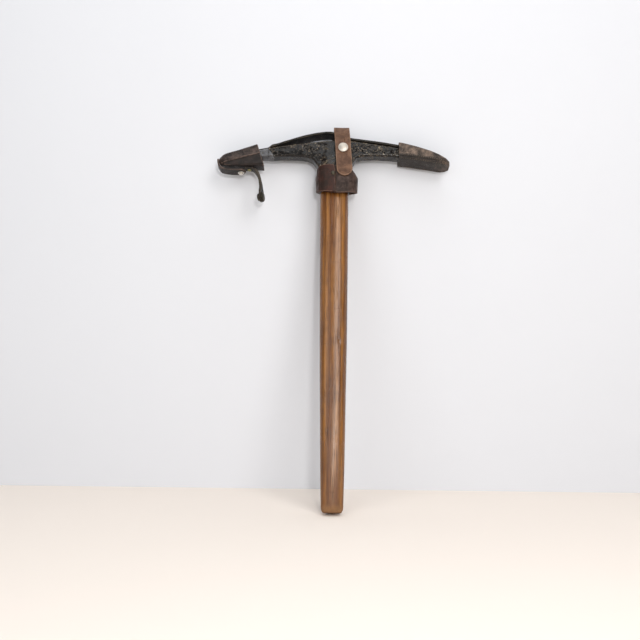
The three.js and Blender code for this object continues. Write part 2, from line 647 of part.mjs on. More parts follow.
// ---------------------------------------------------------------- pick's sheath
const PICK_NOSE_X = PICK_REACH + SHEATH_NOSE;
const PICK_NOSE_TOP = PICK_TIP_HEIGHT + PICK_NOSE_RISE;
const pickSheathCover = (x) => headTop(Math.max(x, -PICK_REACH)) + TAIL_THICKNESS + GAP + LOOSE + LEATHER;
const PICK_MOUTH_TOP = pickSheathCover(-PICK_MOUTH_X) + 0.8;
function pickSheathTop(x) {
  const straight = mix(PICK_MOUTH_TOP, PICK_NOSE_TOP, (-x - PICK_MOUTH_X) / (PICK_NOSE_X - PICK_MOUTH_X));
  return Math.max(straight, pickSheathCover(x));
}
const PICK_MOUTH_BOTTOM = ARM_END_TOP - ARM_END_HEIGHT / 2 - PICK_SHEATH_DROP - 2.6;
const pickSheathBottom = smoothLine([
  [-PICK_NOSE_X, PICK_TIP_HEIGHT - PICK_NOSE_DROP + 2],
  [-PICK_REACH, PICK_TIP_HEIGHT - PICK_NOSE_DROP],
  [-mix(PICK_MOUTH_X, PICK_REACH, 0.6), PICK_MOUTH_BOTTOM + 0.2],
  [-PICK_MOUTH_X, PICK_MOUTH_BOTTOM],
]);

// Roundness of a sheath's nose: 1 along the blade, falling to a small end at the nose.
function noseScale(x, from, nose) {
  const t = clamp01((Math.abs(x) - from) / (nose - from));
  return Math.max(0.3, Math.sqrt(1 - t * t));
}

function pickSheathSection(x, inset) {
  const scale = noseScale(x, PICK_REACH - 3, PICK_NOSE_X + 1.5 - inset);
  const low = pickSheathBottom(x) + inset;
  const high = pickSheathTop(x) - inset;
  const along = clamp01((-x - PICK_MOUTH_X) / (PICK_REACH - PICK_MOUTH_X));
  const middle = mix(low, high, 0.5);
  const lowEdge = middle + (low - middle) * scale;
  const highEdge = middle + (high - middle) * scale;
  const ridge = (mix(PICK_SHEATH_HALF, PICK_SHEATH_HALF - 2.4, along) - inset) * scale;
  const top = (HEAD_DEPTH / 2 + LEATHER + mix(0.4, -2.4, along) - inset) * scale;
  const bottom = (mix(8.5, 7.5, along) - inset) * scale;
  const corner = Math.min(1.8, (highEdge - lowEdge) / 5, top / 3);
  const flare = (ridge - bottom) * 0.4;
  const foot = bottom + flare;
  return [
    [-bottom, lowEdge], [bottom, lowEdge], [foot, lowEdge + 1.5 * corner], [ridge, middle],
    [top, highEdge - corner], [top - corner, highEdge], [-top + corner, highEdge],
    [-top, highEdge - corner], [-ridge, middle], [-foot, lowEdge + 1.5 * corner],
  ];
}

// Leans the sheath's mouth back, fading out along the sheath.
function slantMouth(geometry) {
  const position = geometry.attributes.position;
  const middle = mix(PICK_MOUTH_BOTTOM, PICK_MOUTH_TOP, 0.5);
  for (let i = 0; i < position.count; i += 1) {
    const x = position.getX(i);
    const fade = clamp01((x + PICK_REACH) / (PICK_REACH - PICK_MOUTH_X));
    position.setX(i, x - PICK_MOUTH_SLANT * (position.getZ(i) - middle) * fade);
  }
  return geometry;
}

function pickSheath(rivetHole) {
  const outside = span(-PICK_NOSE_X, -PICK_MOUTH_X, 14);
  const shell = slantMouth(lying(outside, (x) => pickSheathSection(x, 0)));
  const inside = span(-PICK_NOSE_X + LEATHER, -PICK_MOUTH_X + 1, 12);
  const cavity = slantMouth(lying(inside, (x) => pickSheathSection(Math.min(x, -PICK_MOUTH_X), LEATHER)));
  return cut(shell, cavity, rivetHole);
}

const TONGUE_LOW = pickSheathBottom(-PICK_REACH + 14) - TONGUE_GAP;
const TONGUE_END_X = PICK_REACH - 30;
const TONGUE_OFF = PICK_STRAP_THICKNESS / 2 + GAP;

function makeTongue() {
  const points = [
    v3(-PICK_NOSE_X - TONGUE_OFF, 0, PICK_TIP_HEIGHT + 4),
    v3(-PICK_NOSE_X - TONGUE_OFF, 0, PICK_TIP_HEIGHT - 1),
    v3(-PICK_NOSE_X + 2.6, 0, PICK_TIP_HEIGHT - PICK_NOSE_DROP - 3.4),
    v3(-PICK_NOSE_X + 12, 0, TONGUE_LOW + 0.8),
    v3(-TONGUE_END_X, 0, TONGUE_LOW),
  ];
  const flat = ALONG_Y.clone().negate();
  const narrow = roundEnd(TONGUE_WIDTH / 2);
  const rule = (t, length) => narrow(t, length) * mix(0.62, 1, clamp01(t / 0.35));
  return makeStrap(points, flat, rule, PICK_STRAP_THICKNESS, 18);
}

const PICK_STRAP_ROOT_X = PICK_REACH - 34.5;
const pickStrapTop = pickSheathBottom(-PICK_STRAP_ROOT_X) - 2 * GAP - PICK_STRAP_THICKNESS / 2;

const underSheath = (back, rise) => v3(-PICK_STRAP_ROOT_X - back, 0, pickStrapTop + rise);

function makePickStrapRoot() {
  const points = [underSheath(5.5, 0), underSheath(0, 0), underSheath(-PICK_STRAP_BEND, -0.8)];
  return makeStrap(points, ALONG_Y, () => PICK_STRAP_WIDTH / 2, PICK_STRAP_THICKNESS, 8);
}

// The free part hangs in a curve and ends in a rounded paddle that carries the snap.
function makePickStrap() {
  const hang = [
    [-1.3, -0.5], [-4.8, -4.2], [-8.3, -10.5], [-10.6, -18.5], [-12, -27.5], [-12.6, -37],
    [-13, -49.6],
  ];
  const start = underSheath(-PICK_STRAP_BEND, -0.8);
  const points = hang.map(([back, rise]) => v3(start.x - back, 0, start.z + rise));
  const paddle = (t) => mix(PICK_STRAP_WIDTH, PADDLE_WIDTH, clamp01((t - 0.6) / 0.12)) / 2;
  const rounded = roundEnd(PADDLE_WIDTH / 2);
  const half = (t, length) => Math.min(paddle(t), rounded(t, length));
  return makeStrap(points, ALONG_Y, half, PICK_STRAP_THICKNESS, 24, PICK_STRAP_TWIST);
}

// ---------------------------------------------------------------- adze's sheath
const ADZE_NOSE_X = ADZE_REACH + SHEATH_NOSE;
const adzeSheathTop = (x) => headTop(Math.min(x, ADZE_REACH)) + STRAP_THICKNESS + GAP + LOOSE + LEATHER;
const adzeSheathBottom = (x) => headBottom(Math.min(x, ADZE_REACH)) - LOOSE - LEATHER;
const soleTop = (x) => adzeSheathBottom(x) + LEATHER;

function adzeHalf(x, inset) {
  return (ADZE_SHEATH_HALF - inset) * noseScale(x, ADZE_REACH - 7, ADZE_NOSE_X + 2 - inset);
}

function adzeUpperSection(x, inset, low) {
  const half = adzeHalf(x, inset);
  const taper = noseScale(x, ADZE_REACH - 6, ADZE_NOSE_X + 2 - inset);
  const base = soleTop(x) + SEAM_GAP;
  const high = base + (adzeSheathTop(x) - inset - base) * taper;
  const shoulder = Math.min(4.5 - 0.9 * inset, (high - base) * 0.45);
  return [
    [-half, low], [half, low], [half, high - shoulder], [half - shoulder * 0.35, high - shoulder * 0.35],
    [half - shoulder, high], [-half + shoulder, high], [-half + shoulder * 0.35, high - shoulder * 0.35],
    [-half, high - shoulder],
  ];
}

function adzeSheathUpper() {
  const outside = span(ADZE_MOUTH_X, ADZE_NOSE_X, 14);
  const shell = lying(outside, (x) => adzeUpperSection(x, 0, soleTop(x) + SEAM_GAP));
  const inside = span(ADZE_MOUTH_X - 1, ADZE_NOSE_X - LEATHER, 14);
  const cavity = lying(inside, (x) => adzeUpperSection(Math.max(x, ADZE_MOUTH_X), LEATHER, soleTop(x) - 4));
  return cut(shell, cavity);
}

function adzeSheathSole() {
  return lying(span(ADZE_MOUTH_X, ADZE_NOSE_X, 14), (x) => {
    return chamferedBox(adzeHalf(x, 0), adzeSheathBottom(x), soleTop(x), 0.6);
  });
}

// ---------------------------------------------------------------- assembly
const group = new THREE.Group();
const headFrame = new THREE.Group();
headFrame.position.z = SOCKET_BASE;
group.add(headFrame);

function place(parent, name, geometry, material) {
  const mesh = new THREE.Mesh(geometry, material);
  mesh.name = name;
  parent.add(mesh);
}

place(group, 'shaft', shaft(), ash());
place(headFrame, 'head', head(), blackSteel());
SOCKET_RIVET_HEIGHTS.forEach((height, i) => {
  const name = ['socket_rivet_lower', 'socket_rivet_upper'][i];
  place(headFrame, name, socketRivet().translate(0, 0, height), steel());
});

const tab = makeTab();
const flap = makeFlap();
const strapBack = makeStrapBack();
const tongue = makeTongue();
const pickStrap = makePickStrap();

const parameterAt = (strap, coordinate, value) => {
  const samples = span(0, 1, 400);
  const miss = (t) => Math.abs(strap.frame(t).point[coordinate] - value);
  return samples.reduce((best, t) => (miss(t) < miss(best) ? t : best));
};

// Snap at the front: its stud stands on the tab and its cap and socket ride on the flap.
const snapAt = (y) => {
  return new THREE.Matrix4().makeRotationX(Math.PI / 2).setPosition(closingX(SNAP_HEIGHT), y, SNAP_HEIGHT);
};
const snapOnTab = snapAt(snapTabY);
const snapOnFlap = snapAt(snapFlapY);
const shankHole = SNAP_SHANK_RADIUS + PIN_CLEARANCE;

const rivetHoleRadius = STRAP_RIVET_RADIUS + PIN_CLEARANCE;
const faceFront = (x, z) => new THREE.Matrix4().makeRotationX(Math.PI / 2).setPosition(x, 0, z);
const faceBack = (x, z) => new THREE.Matrix4().makeRotationX(-Math.PI / 2).setPosition(x, 0, z);
const collarRivetHole = pin(rivetHoleRadius, 18, 40).applyMatrix4(faceFront(collarRivet.x, collarRivet.z));
const backHole = pin(rivetHoleRadius, 18, 40).applyMatrix4(faceBack(closingX(collarBack.z), collarBack.z));

place(headFrame, 'collar', collar(collarRivetHole, backHole), brownLeather());
place(
  headFrame,
  'collar_rivet',
  strapRivet(-TAB_FOOT_Y - TAB_THICKNESS / 2, COLLAR_BULGE_Y + LEATHER + GAP)
    .applyMatrix4(faceFront(collarRivet.x, collarRivet.z)),
  brass(),
);
place(
  headFrame,
  'strap_back_rivet',
  strapRivet(COLLAR_BULGE_Y - LEATHER - 2.2, collarBack.y + LEATHER)
    .applyMatrix4(faceBack(closingX(collarBack.z), collarBack.z)),
  brass(),
);
place(
  headFrame,
  'stud_tab',
  cut(tab.geometry, pin(shankHole, -9, 9).applyMatrix4(snapOnTab), collarRivetHole),
  darkLeather(),
);
place(
  headFrame,
  'closing_strap_flap',
  cut(flap.geometry, pin(shankHole, -9, 9).applyMatrix4(snapOnFlap)),
  brownLeather(),
);
place(headFrame, 'closing_strap_back', cut(strapBack.geometry, backHole), brownLeather());
place(headFrame, 'flap_snap_cap', snapCap(LEATHER + 0.6).applyMatrix4(snapOnFlap), nickel());
place(headFrame, 'flap_snap_socket', snapSocket(LEATHER).applyMatrix4(snapOnFlap), nickel());
place(headFrame, 'tab_snap_stud', snapStud(TAB_THICKNESS).applyMatrix4(snapOnTab), nickel());
place(headFrame, 'tab_snap_post', snapPost(TAB_THICKNESS).applyMatrix4(snapOnTab), nickel());

place(headFrame, 'connecting_strap', connectingStrap(), darkLeather());
place(headFrame, 'adze_sheath_upper', adzeSheathUpper(), darkLeather());
place(headFrame, 'adze_sheath_sole', adzeSheathSole(), darkLeather());

const tongueSnapAt = parameterAt(tongue, 'x', -TONGUE_END_X - 7);
const strapSnapAt = parameterAt(pickStrap, 'z', pickStrapTop - PICK_SNAP_DROP);
const sheathRivetHole = pin(rivetHoleRadius, -4, 9)
  .applyMatrix4(new THREE.Matrix4().makeTranslation(-PICK_STRAP_ROOT_X, 0, pickStrapTop));

place(headFrame, 'pick_sheath', pickSheath(sheathRivetHole), darkLeather());
place(
  headFrame,
  'pick_sheath_tongue',
  cut(tongue.geometry, holeThrough(tongue, tongueSnapAt, shankHole, 9)),
  darkLeather(),
);
place(
  headFrame,
  'pick_strap',
  cut(pickStrap.geometry, holeThrough(pickStrap, strapSnapAt, shankHole, 9)),
  brownLeather(),
);
place(headFrame, 'pick_strap_root', cut(makePickStrapRoot().geometry, sheathRivetHole), brownLeather());
place(
  headFrame,
  'pick_strap_rivet',
  strapRivet(-PICK_STRAP_THICKNESS / 2 - GAP, PICK_STRAP_THICKNESS / 2 + 2 * GAP + LEATHER)
    .translate(-PICK_STRAP_ROOT_X, 0, pickStrapTop),
  brass(),
);

const placeOn = (strap, t, name, geometry, material) => {
  place(headFrame, name, geometry.applyMatrix4(seatOn(strap, t)), material);
};
placeOn(tongue, tongueSnapAt, 'tongue_snap_stud', snapStud(PICK_STRAP_THICKNESS), nickel());
placeOn(tongue, tongueSnapAt, 'tongue_snap_post', snapPost(PICK_STRAP_THICKNESS), nickel());
placeOn(pickStrap, strapSnapAt, 'pick_strap_snap_cap', snapCap(PICK_STRAP_THICKNESS + 0.6), brass());
placeOn(pickStrap, strapSnapAt, 'pick_strap_snap_socket', snapSocket(PICK_STRAP_THICKNESS), brass());

export default group;
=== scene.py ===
"""Ice axe with a leather collar, straps and sheaths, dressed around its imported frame."""

import math

import bmesh
import bpy
import numpy as np
from mathutils import Matrix, Vector, kdtree
from mathutils.bvhtree import BVHTree


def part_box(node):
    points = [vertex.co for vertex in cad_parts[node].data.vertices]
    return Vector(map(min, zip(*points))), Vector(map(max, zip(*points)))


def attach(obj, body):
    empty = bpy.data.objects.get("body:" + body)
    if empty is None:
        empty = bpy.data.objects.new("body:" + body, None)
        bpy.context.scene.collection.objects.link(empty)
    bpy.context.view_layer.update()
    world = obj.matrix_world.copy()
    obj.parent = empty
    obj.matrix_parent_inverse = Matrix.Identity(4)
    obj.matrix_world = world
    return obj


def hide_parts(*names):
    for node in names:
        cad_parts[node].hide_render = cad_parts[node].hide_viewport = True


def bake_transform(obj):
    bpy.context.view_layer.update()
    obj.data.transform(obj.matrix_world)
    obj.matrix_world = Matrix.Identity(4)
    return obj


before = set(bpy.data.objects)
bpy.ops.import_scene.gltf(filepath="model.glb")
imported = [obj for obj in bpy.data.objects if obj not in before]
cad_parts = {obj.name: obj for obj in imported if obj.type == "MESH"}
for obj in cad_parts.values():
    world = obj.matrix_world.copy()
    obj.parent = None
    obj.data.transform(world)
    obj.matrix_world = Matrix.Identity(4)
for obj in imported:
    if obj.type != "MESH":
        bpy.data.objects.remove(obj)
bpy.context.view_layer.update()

MM = 0.001

# How far the axe leans back against the wall, and the slight sideways lean of its shaft.
LEAN = math.radians(17.5)
SIDEWAYS = math.radians(0.7)
ACROSS = Vector((1, 0, 0))
UP = Vector((0, -math.sin(LEAN), math.cos(LEAN)))
AWAY = Vector((0, math.cos(LEAN), math.sin(LEAN)))

# The edge length of each kind of piece's even mesh, and the one that a fitting's wear is
# measured over.
SHAFT_MESH = 1.25 * MM
HEAD_MESH = 0.8 * MM
LEATHER_MESH = 0.5 * MM
STRAP_MESH = 0.4 * MM
FITTING_MESH = 0.2 * MM
FITTING_EDGE = 0.32 * MM

# An edge this round or sharper gets rubbed.
EDGE_RADIUS = 1.6 * MM

# The halves of a cut strap lie less than this apart, and loose corners less than JOIN_GAP.
CUT_GAP = 0.9 * MM
JOIN_GAP = 0.001 * MM

# The waves that add up to a surface's unevenness, and the shaft's dents: how many, how
# far they reach along x, y and z, and how deep they are, both in mm.
WAVES = 28
SHAFT_DENTS = 16
DENT_REACH = (2.2, 2.2, 5.0)
DENT_DEPTHS = (0.25, 0.6)

# The head's paint stops at a slanted line: its place at this height above the socket's rim.
PAINT_END = -91 * MM
PAINT_END_HEIGHT = 62 * MM
PAINT_SLANT = 0.7

# The closing strap's round end: how deep its front reaches, its radius to start from,
# where the rounding fades in, and the number of sectors its rim is measured in.
END_DEPTH = 9 * MM
END_RADIUS = 9 * MM
END_FADE = 3 * MM
END_SECTORS = 24

# The fold along the pick sheath's side and the ridge along the adze sheath's: how high
# up the sheath each is, as a share of its height, at its least x and its greatest.
CREASE_HEIGHTS = (0.031, 0.542)
RIDGE_HEIGHTS = (0.392, 0.097)

# The crease's groove and the lip above it, in mm.
CREASE_DEPTH = 0.75
CREASE_WIDTH = 0.75
LIP_RISE = 0.45
LIP_ABOVE = 1.9
LIP_WIDTH = 1.1

# The stitches, and the groove that they lie in.
STITCH_SPACING = 3.1 * MM
STITCH_LENGTH = 2.2 * MM
STITCH_THICKNESS = 0.62 * MM
STITCH_PROUD = 0.12
GROOVE_WIDTH = 1.0 * MM
GROOVE_DEPTH = 0.28 * MM
GROOVE_STEPS = 4

# The seams: how far they are from a piece's edge and ends, and where the adze sheath's
# sole turns round its tip.
SEAM_STEP = 2 * MM
SEAM_START = 3 * MM
SEAM_INSET = 2.4 * MM
PICK_SEAM_START = 9 * MM
PICK_SEAM_HEIGHT = 8 * MM
SOLE_LEATHER = 2.6 * MM
TIP_ROUND = 13 * MM
TIP_LEAD = 10 * MM
FAR_OUT = 50 * MM
SAME_PLACE = 0.01 * MM

# The dent that the cap has pressed into the closing strap, and the slit above the cap,
# with their widths and places in mm from the cap's middle.
PRESS_RADIUS = 8.2
PRESS_WIDTH = 1.1
PRESS_DEPTH = 0.25 * MM
SLIT_ASIDE = 2.2
SLIT_ABOVE = 10.5
SLIT_HALF_WIDTH = 0.55
SLIT_HALF_LENGTH = 3.6
SLIT_FADE = 0.6
SLIT_DEPTH = 1.3 * MM
STRAP_FRONT = -10

CAP_SHANK = 1.6 * MM
CAP_DOME = 2.1 * MM
CAP_SIDES = 40

# How much fuller the hanging strap is than its solid.
HANGING_STRAP_SWELL = 0.8 * MM

GRAIN_HEIGHT = 0.16 * MM

# The lights, in metres: where each is across the floor, up from it and away, its size,
# its power in watts and its colour.
LIGHTS = {
    "window light": ((0.7, 1.3, -1.6), 1.3, 21.5, (1.0, 0.985, 0.96)),
    "near fill": ((-1.0, 0.9, -1.5), 1.6, 9, (0.94, 0.975, 1.0)),
    "overhead": ((0.0, 1.7, -0.3), 1.2, 8, (0.95, 0.98, 1.0)),
    "front lamp": ((0.12, 0.5, -1.25), 0.14, 6.0, (1.0, 0.99, 0.97)),
}
SKY_COLOUR = (0.93, 0.96, 1.0, 1)
SKY_STRENGTH = 0.13
FLOOR_COLOUR = (0.88, 0.80, 0.73, 1)
WALL_COLOUR = (0.685, 0.693, 0.725, 1)

CAMERA_PLACE = Vector((-17.76, -1128.61, -103.73)) * MM
CAMERA_LENS = 50
CAMERA_SENSOR = 36


# -------- meshes


def link(obj):
    bpy.context.scene.collection.objects.link(obj)
    return obj


def merged(node):
    """A CAD node's mesh with its loose triangles joined up."""
    part = bmesh.new()
    part.from_mesh(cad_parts[node].data)
    bmesh.ops.remove_doubles(part, verts=part.verts, dist=JOIN_GAP)
    return part


def as_mesh(name, part):
    mesh = bpy.data.meshes.new(name)
    part.to_mesh(mesh)
    part.free()
    return mesh


def sewn(name, first, second):
    """The two halves of one strap, cut apart at a joint, as a single closed mesh."""
    near, far = merged(first), merged(second)
    tree = kdtree.KDTree(len(near.verts))
    for v in near.verts:
        tree.insert(v.co, v.index)
    tree.balance()
    near.verts.ensure_lookup_table()
    met_near, met_far = set(), set()
    for v in far.verts:
        place, index, gap = tree.find(v.co)
        if gap < CUT_GAP:
            v.co = place
            met_far.add(v)
            met_near.add(near.verts[index])
    for part, met in ((near, met_near), (far, met_far)):
        cut = [f for f in part.faces if all(v in met for v in f.verts)]
        bmesh.ops.delete(part, geom=cut, context="FACES_ONLY")
    whole = bmesh.new()
    whole.from_mesh(as_mesh(name + "_near", near))
    whole.from_mesh(as_mesh(name + "_far", far))
    bmesh.ops.remove_doubles(whole, verts=whole.verts, dist=JOIN_GAP)
    return as_mesh(name, whole)


def evened(name, mesh, edge):
    """An object whose mesh is the given solid in small even quads."""
    obj = link(bpy.data.objects.new(name, mesh))
    even = obj.modifiers.new("Even mesh", "REMESH")
    even.mode = "VOXEL"
    even.voxel_size = edge
    graph = bpy.context.evaluated_depsgraph_get()
    fine = bpy.data.meshes.new_from_object(obj.evaluated_get(graph))
    obj.modifiers.clear()
    obj.data = fine
    fine.name = name
    return obj


class Skin:
    """A mesh's points as arrays, for smoothing and for shaping by rule."""

    def __init__(self, obj):
        self.mesh = obj.data
        count = len(self.mesh.vertices)
        self.points = np.empty(count * 3)
        self.mesh.vertices.foreach_get("co", self.points)
        self.points = self.points.reshape(-1, 3)
        ends = np.empty(len(self.mesh.edges) * 2, dtype=np.int64)
        self.mesh.edges.foreach_get("vertices", ends)
        self.ends = ends.reshape(-1, 2)
        self.degree = np.bincount(self.ends.ravel(), minlength=count)[:, None]

    def around(self, values):
        """The mean of each point's neighbours."""
        total = np.zeros_like(values)
        np.add.at(total, self.ends[:, 0], values[self.ends[:, 1]])
        np.add.at(total, self.ends[:, 1], values[self.ends[:, 0]])
        return total / self.degree

    def relax(self, rounds):
        """Smooths without shrinking: each inward step is followed by an outward one."""
        for _ in range(rounds):
            for pull in (0.5, -0.53):
                self.points += pull * (self.around(self.points) - self.points)

    def normals(self):
        self.write()
        out = np.empty(len(self.mesh.vertices) * 3, dtype=np.float32)
        self.mesh.vertex_normals.foreach_get("vector", out)
        return out.reshape(-1, 3).astype(float)

    def push(self, heights):
        self.points += self.normals() * heights[:, None]

    def write(self):
        self.mesh.vertices.foreach_set("co", self.points.astype(np.float32).ravel())
        self.mesh.update()

    def mark(self, name, values):
        """Keeps a value for every point, for the finish to read."""
        layer = self.mesh.attributes.new(name, "FLOAT", "POINT")
        layer.data.foreach_set("value", values.astype(np.float32).ravel())

    def mark_edges(self, edge):
        """Marks where the surface stands proud and where it is hollow, from 0 to 1."""
        bend = self.around(self.points) - self.points
        bend = -np.einsum("ij,ij->i", bend, self.normals())[:, None]
        for _ in range(4):
            bend = 0.4 * bend + 0.6 * self.around(bend)
        curve = 4 * bend / edge**2 * EDGE_RADIUS
        self.mark("proud", np.clip(curve, 0, 1))
        self.mark("hollow", np.clip(-curve, 0, 1))


def lumps(points, height, size, seed):
    """Smooth seeded unevenness, about height high, with bumps about size across."""
    rng = np.random.default_rng(seed)
    waves = rng.normal(size=(WAVES, 3))
    waves /= np.linalg.norm(waves, axis=1)[:, None]
    waves *= (math.pi / size) * rng.uniform(0.6, 1.4, (WAVES, 1))
    phase = rng.uniform(0, 2 * math.pi, WAVES)
    share = np.sin(points @ waves.T + phase).sum(axis=1) * math.sqrt(0.5 / WAVES)
    return height * share


def step(low, high, values):
    t = np.clip((values - low) / (high - low), 0, 1)
    return t * t * (3 - 2 * t)


def line_along(node, heights):
    """A straight line along a node's side: its slope, and its height where x is 0."""
    low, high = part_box(node)
    start, end = (low[2] + share * (high[2] - low[2]) for share in heights)
    slope = (end - start) / (high[0] - low[0])
    return slope, start - slope * low[0]


CREASE_SLOPE, CREASE_LEVEL = line_along("pick_sheath", CREASE_HEIGHTS)
RIDGE_SLOPE, RIDGE_LEVEL = line_along("adze_sheath_upper", RIDGE_HEIGHTS)


def finished(obj, nodes, material, body=None):
    """Gives the piece its finish, has it stand for its CAD nodes and puts it on its body."""
    obj.data.materials.clear()
    obj.data.materials.append(material)
    obj.data.shade_smooth()
    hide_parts(*nodes)
    if body:
        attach(obj, body)
    return obj


# -------- node helpers


def add(tree, kind, sockets=None, **settings):
    """One node, with its settings and with its inputs set or linked."""
    node = tree.nodes.new(kind)
    for key, value in settings.items():
        setattr(node, key, value)
    for key, value in (sockets or {}).items():
        put(tree, value, node.inputs[key])
    return node


def put(tree, value, socket):
    if isinstance(value, bpy.types.NodeSocket):
        tree.links.new(value, socket)
    elif value is not None:
        socket.default_value = value


def calc(tree, operation, *values, clamp=False):
    node = add(tree, "ShaderNodeMath", operation=operation, use_clamp=clamp)
    for socket, value in zip(node.inputs, values):
        put(tree, value, socket)
    return node.outputs[0]


def blend_colours(tree, share, low, high):
    node = add(tree, "ShaderNodeMix", data_type="RGBA")
    put(tree, share, node.inputs[0])
    put(tree, low, node.inputs[6])
    put(tree, high, node.inputs[7])
    return node.outputs[2]


def spread(tree, value, low, high, to_low=0.0, to_high=1.0):
    """Takes the range low to high to another range, with a soft start and end."""
    sockets = {
        "Value": value,
        "From Min": low,
        "From Max": high,
        "To Min": to_low,
        "To Max": to_high,
    }
    return add(
        tree, "ShaderNodeMapRange", sockets, interpolation_type="SMOOTHSTEP"
    ).outputs[0]


def clouds(tree, position, scale, detail=4.0, roughness=0.55, twist=0.0):
    sockets = {
        "Vector": position,
        "Scale": scale,
        "Detail": detail,
        "Roughness": roughness,
        "Distortion": twist,
    }
    return add(tree, "ShaderNodeTexNoise", sockets).outputs["Fac"]


def stretched(tree, position, scale):
    return add(tree, "ShaderNodeMapping", {"Vector": position, "Scale": scale}).outputs[0]


def attribute(tree, name):
    return add(tree, "ShaderNodeAttribute", attribute_name=name).outputs["Fac"]


def new_group(name, inputs, outputs):
    """An empty shader group. Each input is a name and a value, each output a name."""
    group = bpy.data.node_groups.new(name, "ShaderNodeTree")
    for label, value in inputs.items():
        kind = "NodeSocketVector" if value is None else "NodeSocketFloat"
        socket = group.interface.new_socket(label, in_out="INPUT", socket_type=kind)
        if value is not None:
            socket.default_value = value
    for label in outputs:
        group.interface.new_socket(label, in_out="OUTPUT", socket_type="NodeSocketFloat")
    source = group.nodes.new("NodeGroupInput").outputs
    sink = group.nodes.new("NodeGroupOutput").inputs
    return group, source, sink


def use(tree, group, sockets):
    node = add(tree, "ShaderNodeGroup", node_tree=group)
    for key, value in sockets.items():
        put(tree, value, node.inputs[key])
    return node.outputs


def mask(finish, group, **sockets):
    """The mask that a shared effect gives on a piece with this finish."""
    named = {key.replace("_", " "): value for key, value in sockets.items()}
    return use(finish.tree, group, {"Position": finish.place, **named})["Mask"]


# -------- shared effects


def rubbed_edges_group():
    """Where hands and rock have rubbed the piece: its proud edges, broken up."""
    group, source, sink = new_group(
        "Rubbed edges",
        {"Position": None, "Reach": 0.4, "Break": 260.0, "Strength": 1.0},
        ["Mask"],
    )
    proud = attribute(group, "proud")
    patches = clouds(group, source["Position"], source["Break"], 6.0, 0.62)
    worn = calc(group, "ADD", proud, calc(group, "MULTIPLY_ADD", patches, 0.7, -0.35))
    low = calc(group, "SUBTRACT", 1.0, source["Reach"])
    high = calc(group, "ADD", low, 0.3)
    mask = spread(group, worn, low, high)
    group.links.new(calc(group, "MULTIPLY", mask, source["Strength"]), sink["Mask"])
    return group


def settled_dirt_group():
    """Dirt that stays in hollows and in broad faint clouds."""
    group, source, sink = new_group(
        "Settled dirt",
        {"Position": None, "Cloud scale": 60.0, "Amount": 0.5},
        ["Mask"],
    )
    hollow = attribute(group, "hollow")
    cloud = clouds(group, source["Position"], source["Cloud scale"], 5.0, 0.6)
    broad = spread(group, cloud, 0.45, 0.75)
    total = calc(group, "MULTIPLY_ADD", hollow, 1.4, broad)
    group.links.new(
        calc(group, "MULTIPLY", total, source["Amount"], clamp=True), sink["Mask"]
    )
    return group


def leather_grain_group():
    """Pebbled grain, creases and mottling of old leather."""
    group, source, sink = new_group(
        "Leather grain",
        {"Position": None, "Pebbles": 1500.0, "Creases": 210.0, "Mottling": 90.0},
        ["Height", "Mottle", "Crease"],
    )
    position = source["Position"]
    noise = {"Vector": position, "Scale": source["Creases"], "Detail": 2.0}
    wander = add(group, "ShaderNodeTexNoise", noise).outputs["Color"]
    moved = {0: 0.004, 4: position, 5: wander}
    bent = add(group, "ShaderNodeMix", moved, data_type="VECTOR").outputs[1]
    cells = {"Vector": bent, "Scale": source["Pebbles"], "Randomness": 1.0}
    pebble = add(group, "ShaderNodeTexVoronoi", cells, feature="SMOOTH_F1").outputs[0]
    fold = clouds(group, bent, source["Creases"], 3.0, 0.5, 1.2)
    line = calc(group, "ABSOLUTE", calc(group, "SUBTRACT", fold, 0.5))
    crease = spread(group, line, 0.0, 0.035, 1.0, 0.0)
    mottle = clouds(group, position, source["Mottling"], 6.0, 0.66, 0.4)
    height = calc(group, "MULTIPLY_ADD", pebble, 0.55, mottle)
    height = calc(group, "MULTIPLY_ADD", crease, -0.55, height)
    group.links.new(height, sink["Height"])
    group.links.new(mottle, sink["Mottle"])
    group.links.new(crease, sink["Crease"])
    return group


def pitting_group():
    """Rust pits and hammer scale on forged steel."""
    group, source, sink = new_group(
        "Pitting",
        {"Position": None, "Pits": 420.0, "Patches": 70.0, "Amount": 0.5},
        ["Pit", "Patch", "Height"],
    )
    position = source["Position"]
    cells = {"Vector": position, "Scale": source["Pits"], "Randomness": 1.0}
    holes = add(group, "ShaderNodeTexVoronoi", cells, feature="SMOOTH_F1").outputs[0]
    patch = clouds(group, position, source["Patches"], 8.0, 0.68, 0.1)
    low = calc(group, "MULTIPLY_ADD", source["Amount"], -0.3, 0.7)
    broad = spread(group, patch, low, calc(group, "ADD", low, 0.1))
    small = spread(group, holes, 0.08, 0.3, 1.0, 0.0)
    pit = calc(group, "MULTIPLY", small, spread(group, patch, 0.42, 0.6))
    group.links.new(pit, sink["Pit"])
    group.links.new(broad, sink["Patch"])
    fall = calc(group, "MULTIPLY_ADD", broad, -0.6, calc(group, "MULTIPLY", pit, -1.0))
    group.links.new(fall, sink["Height"])
    return group


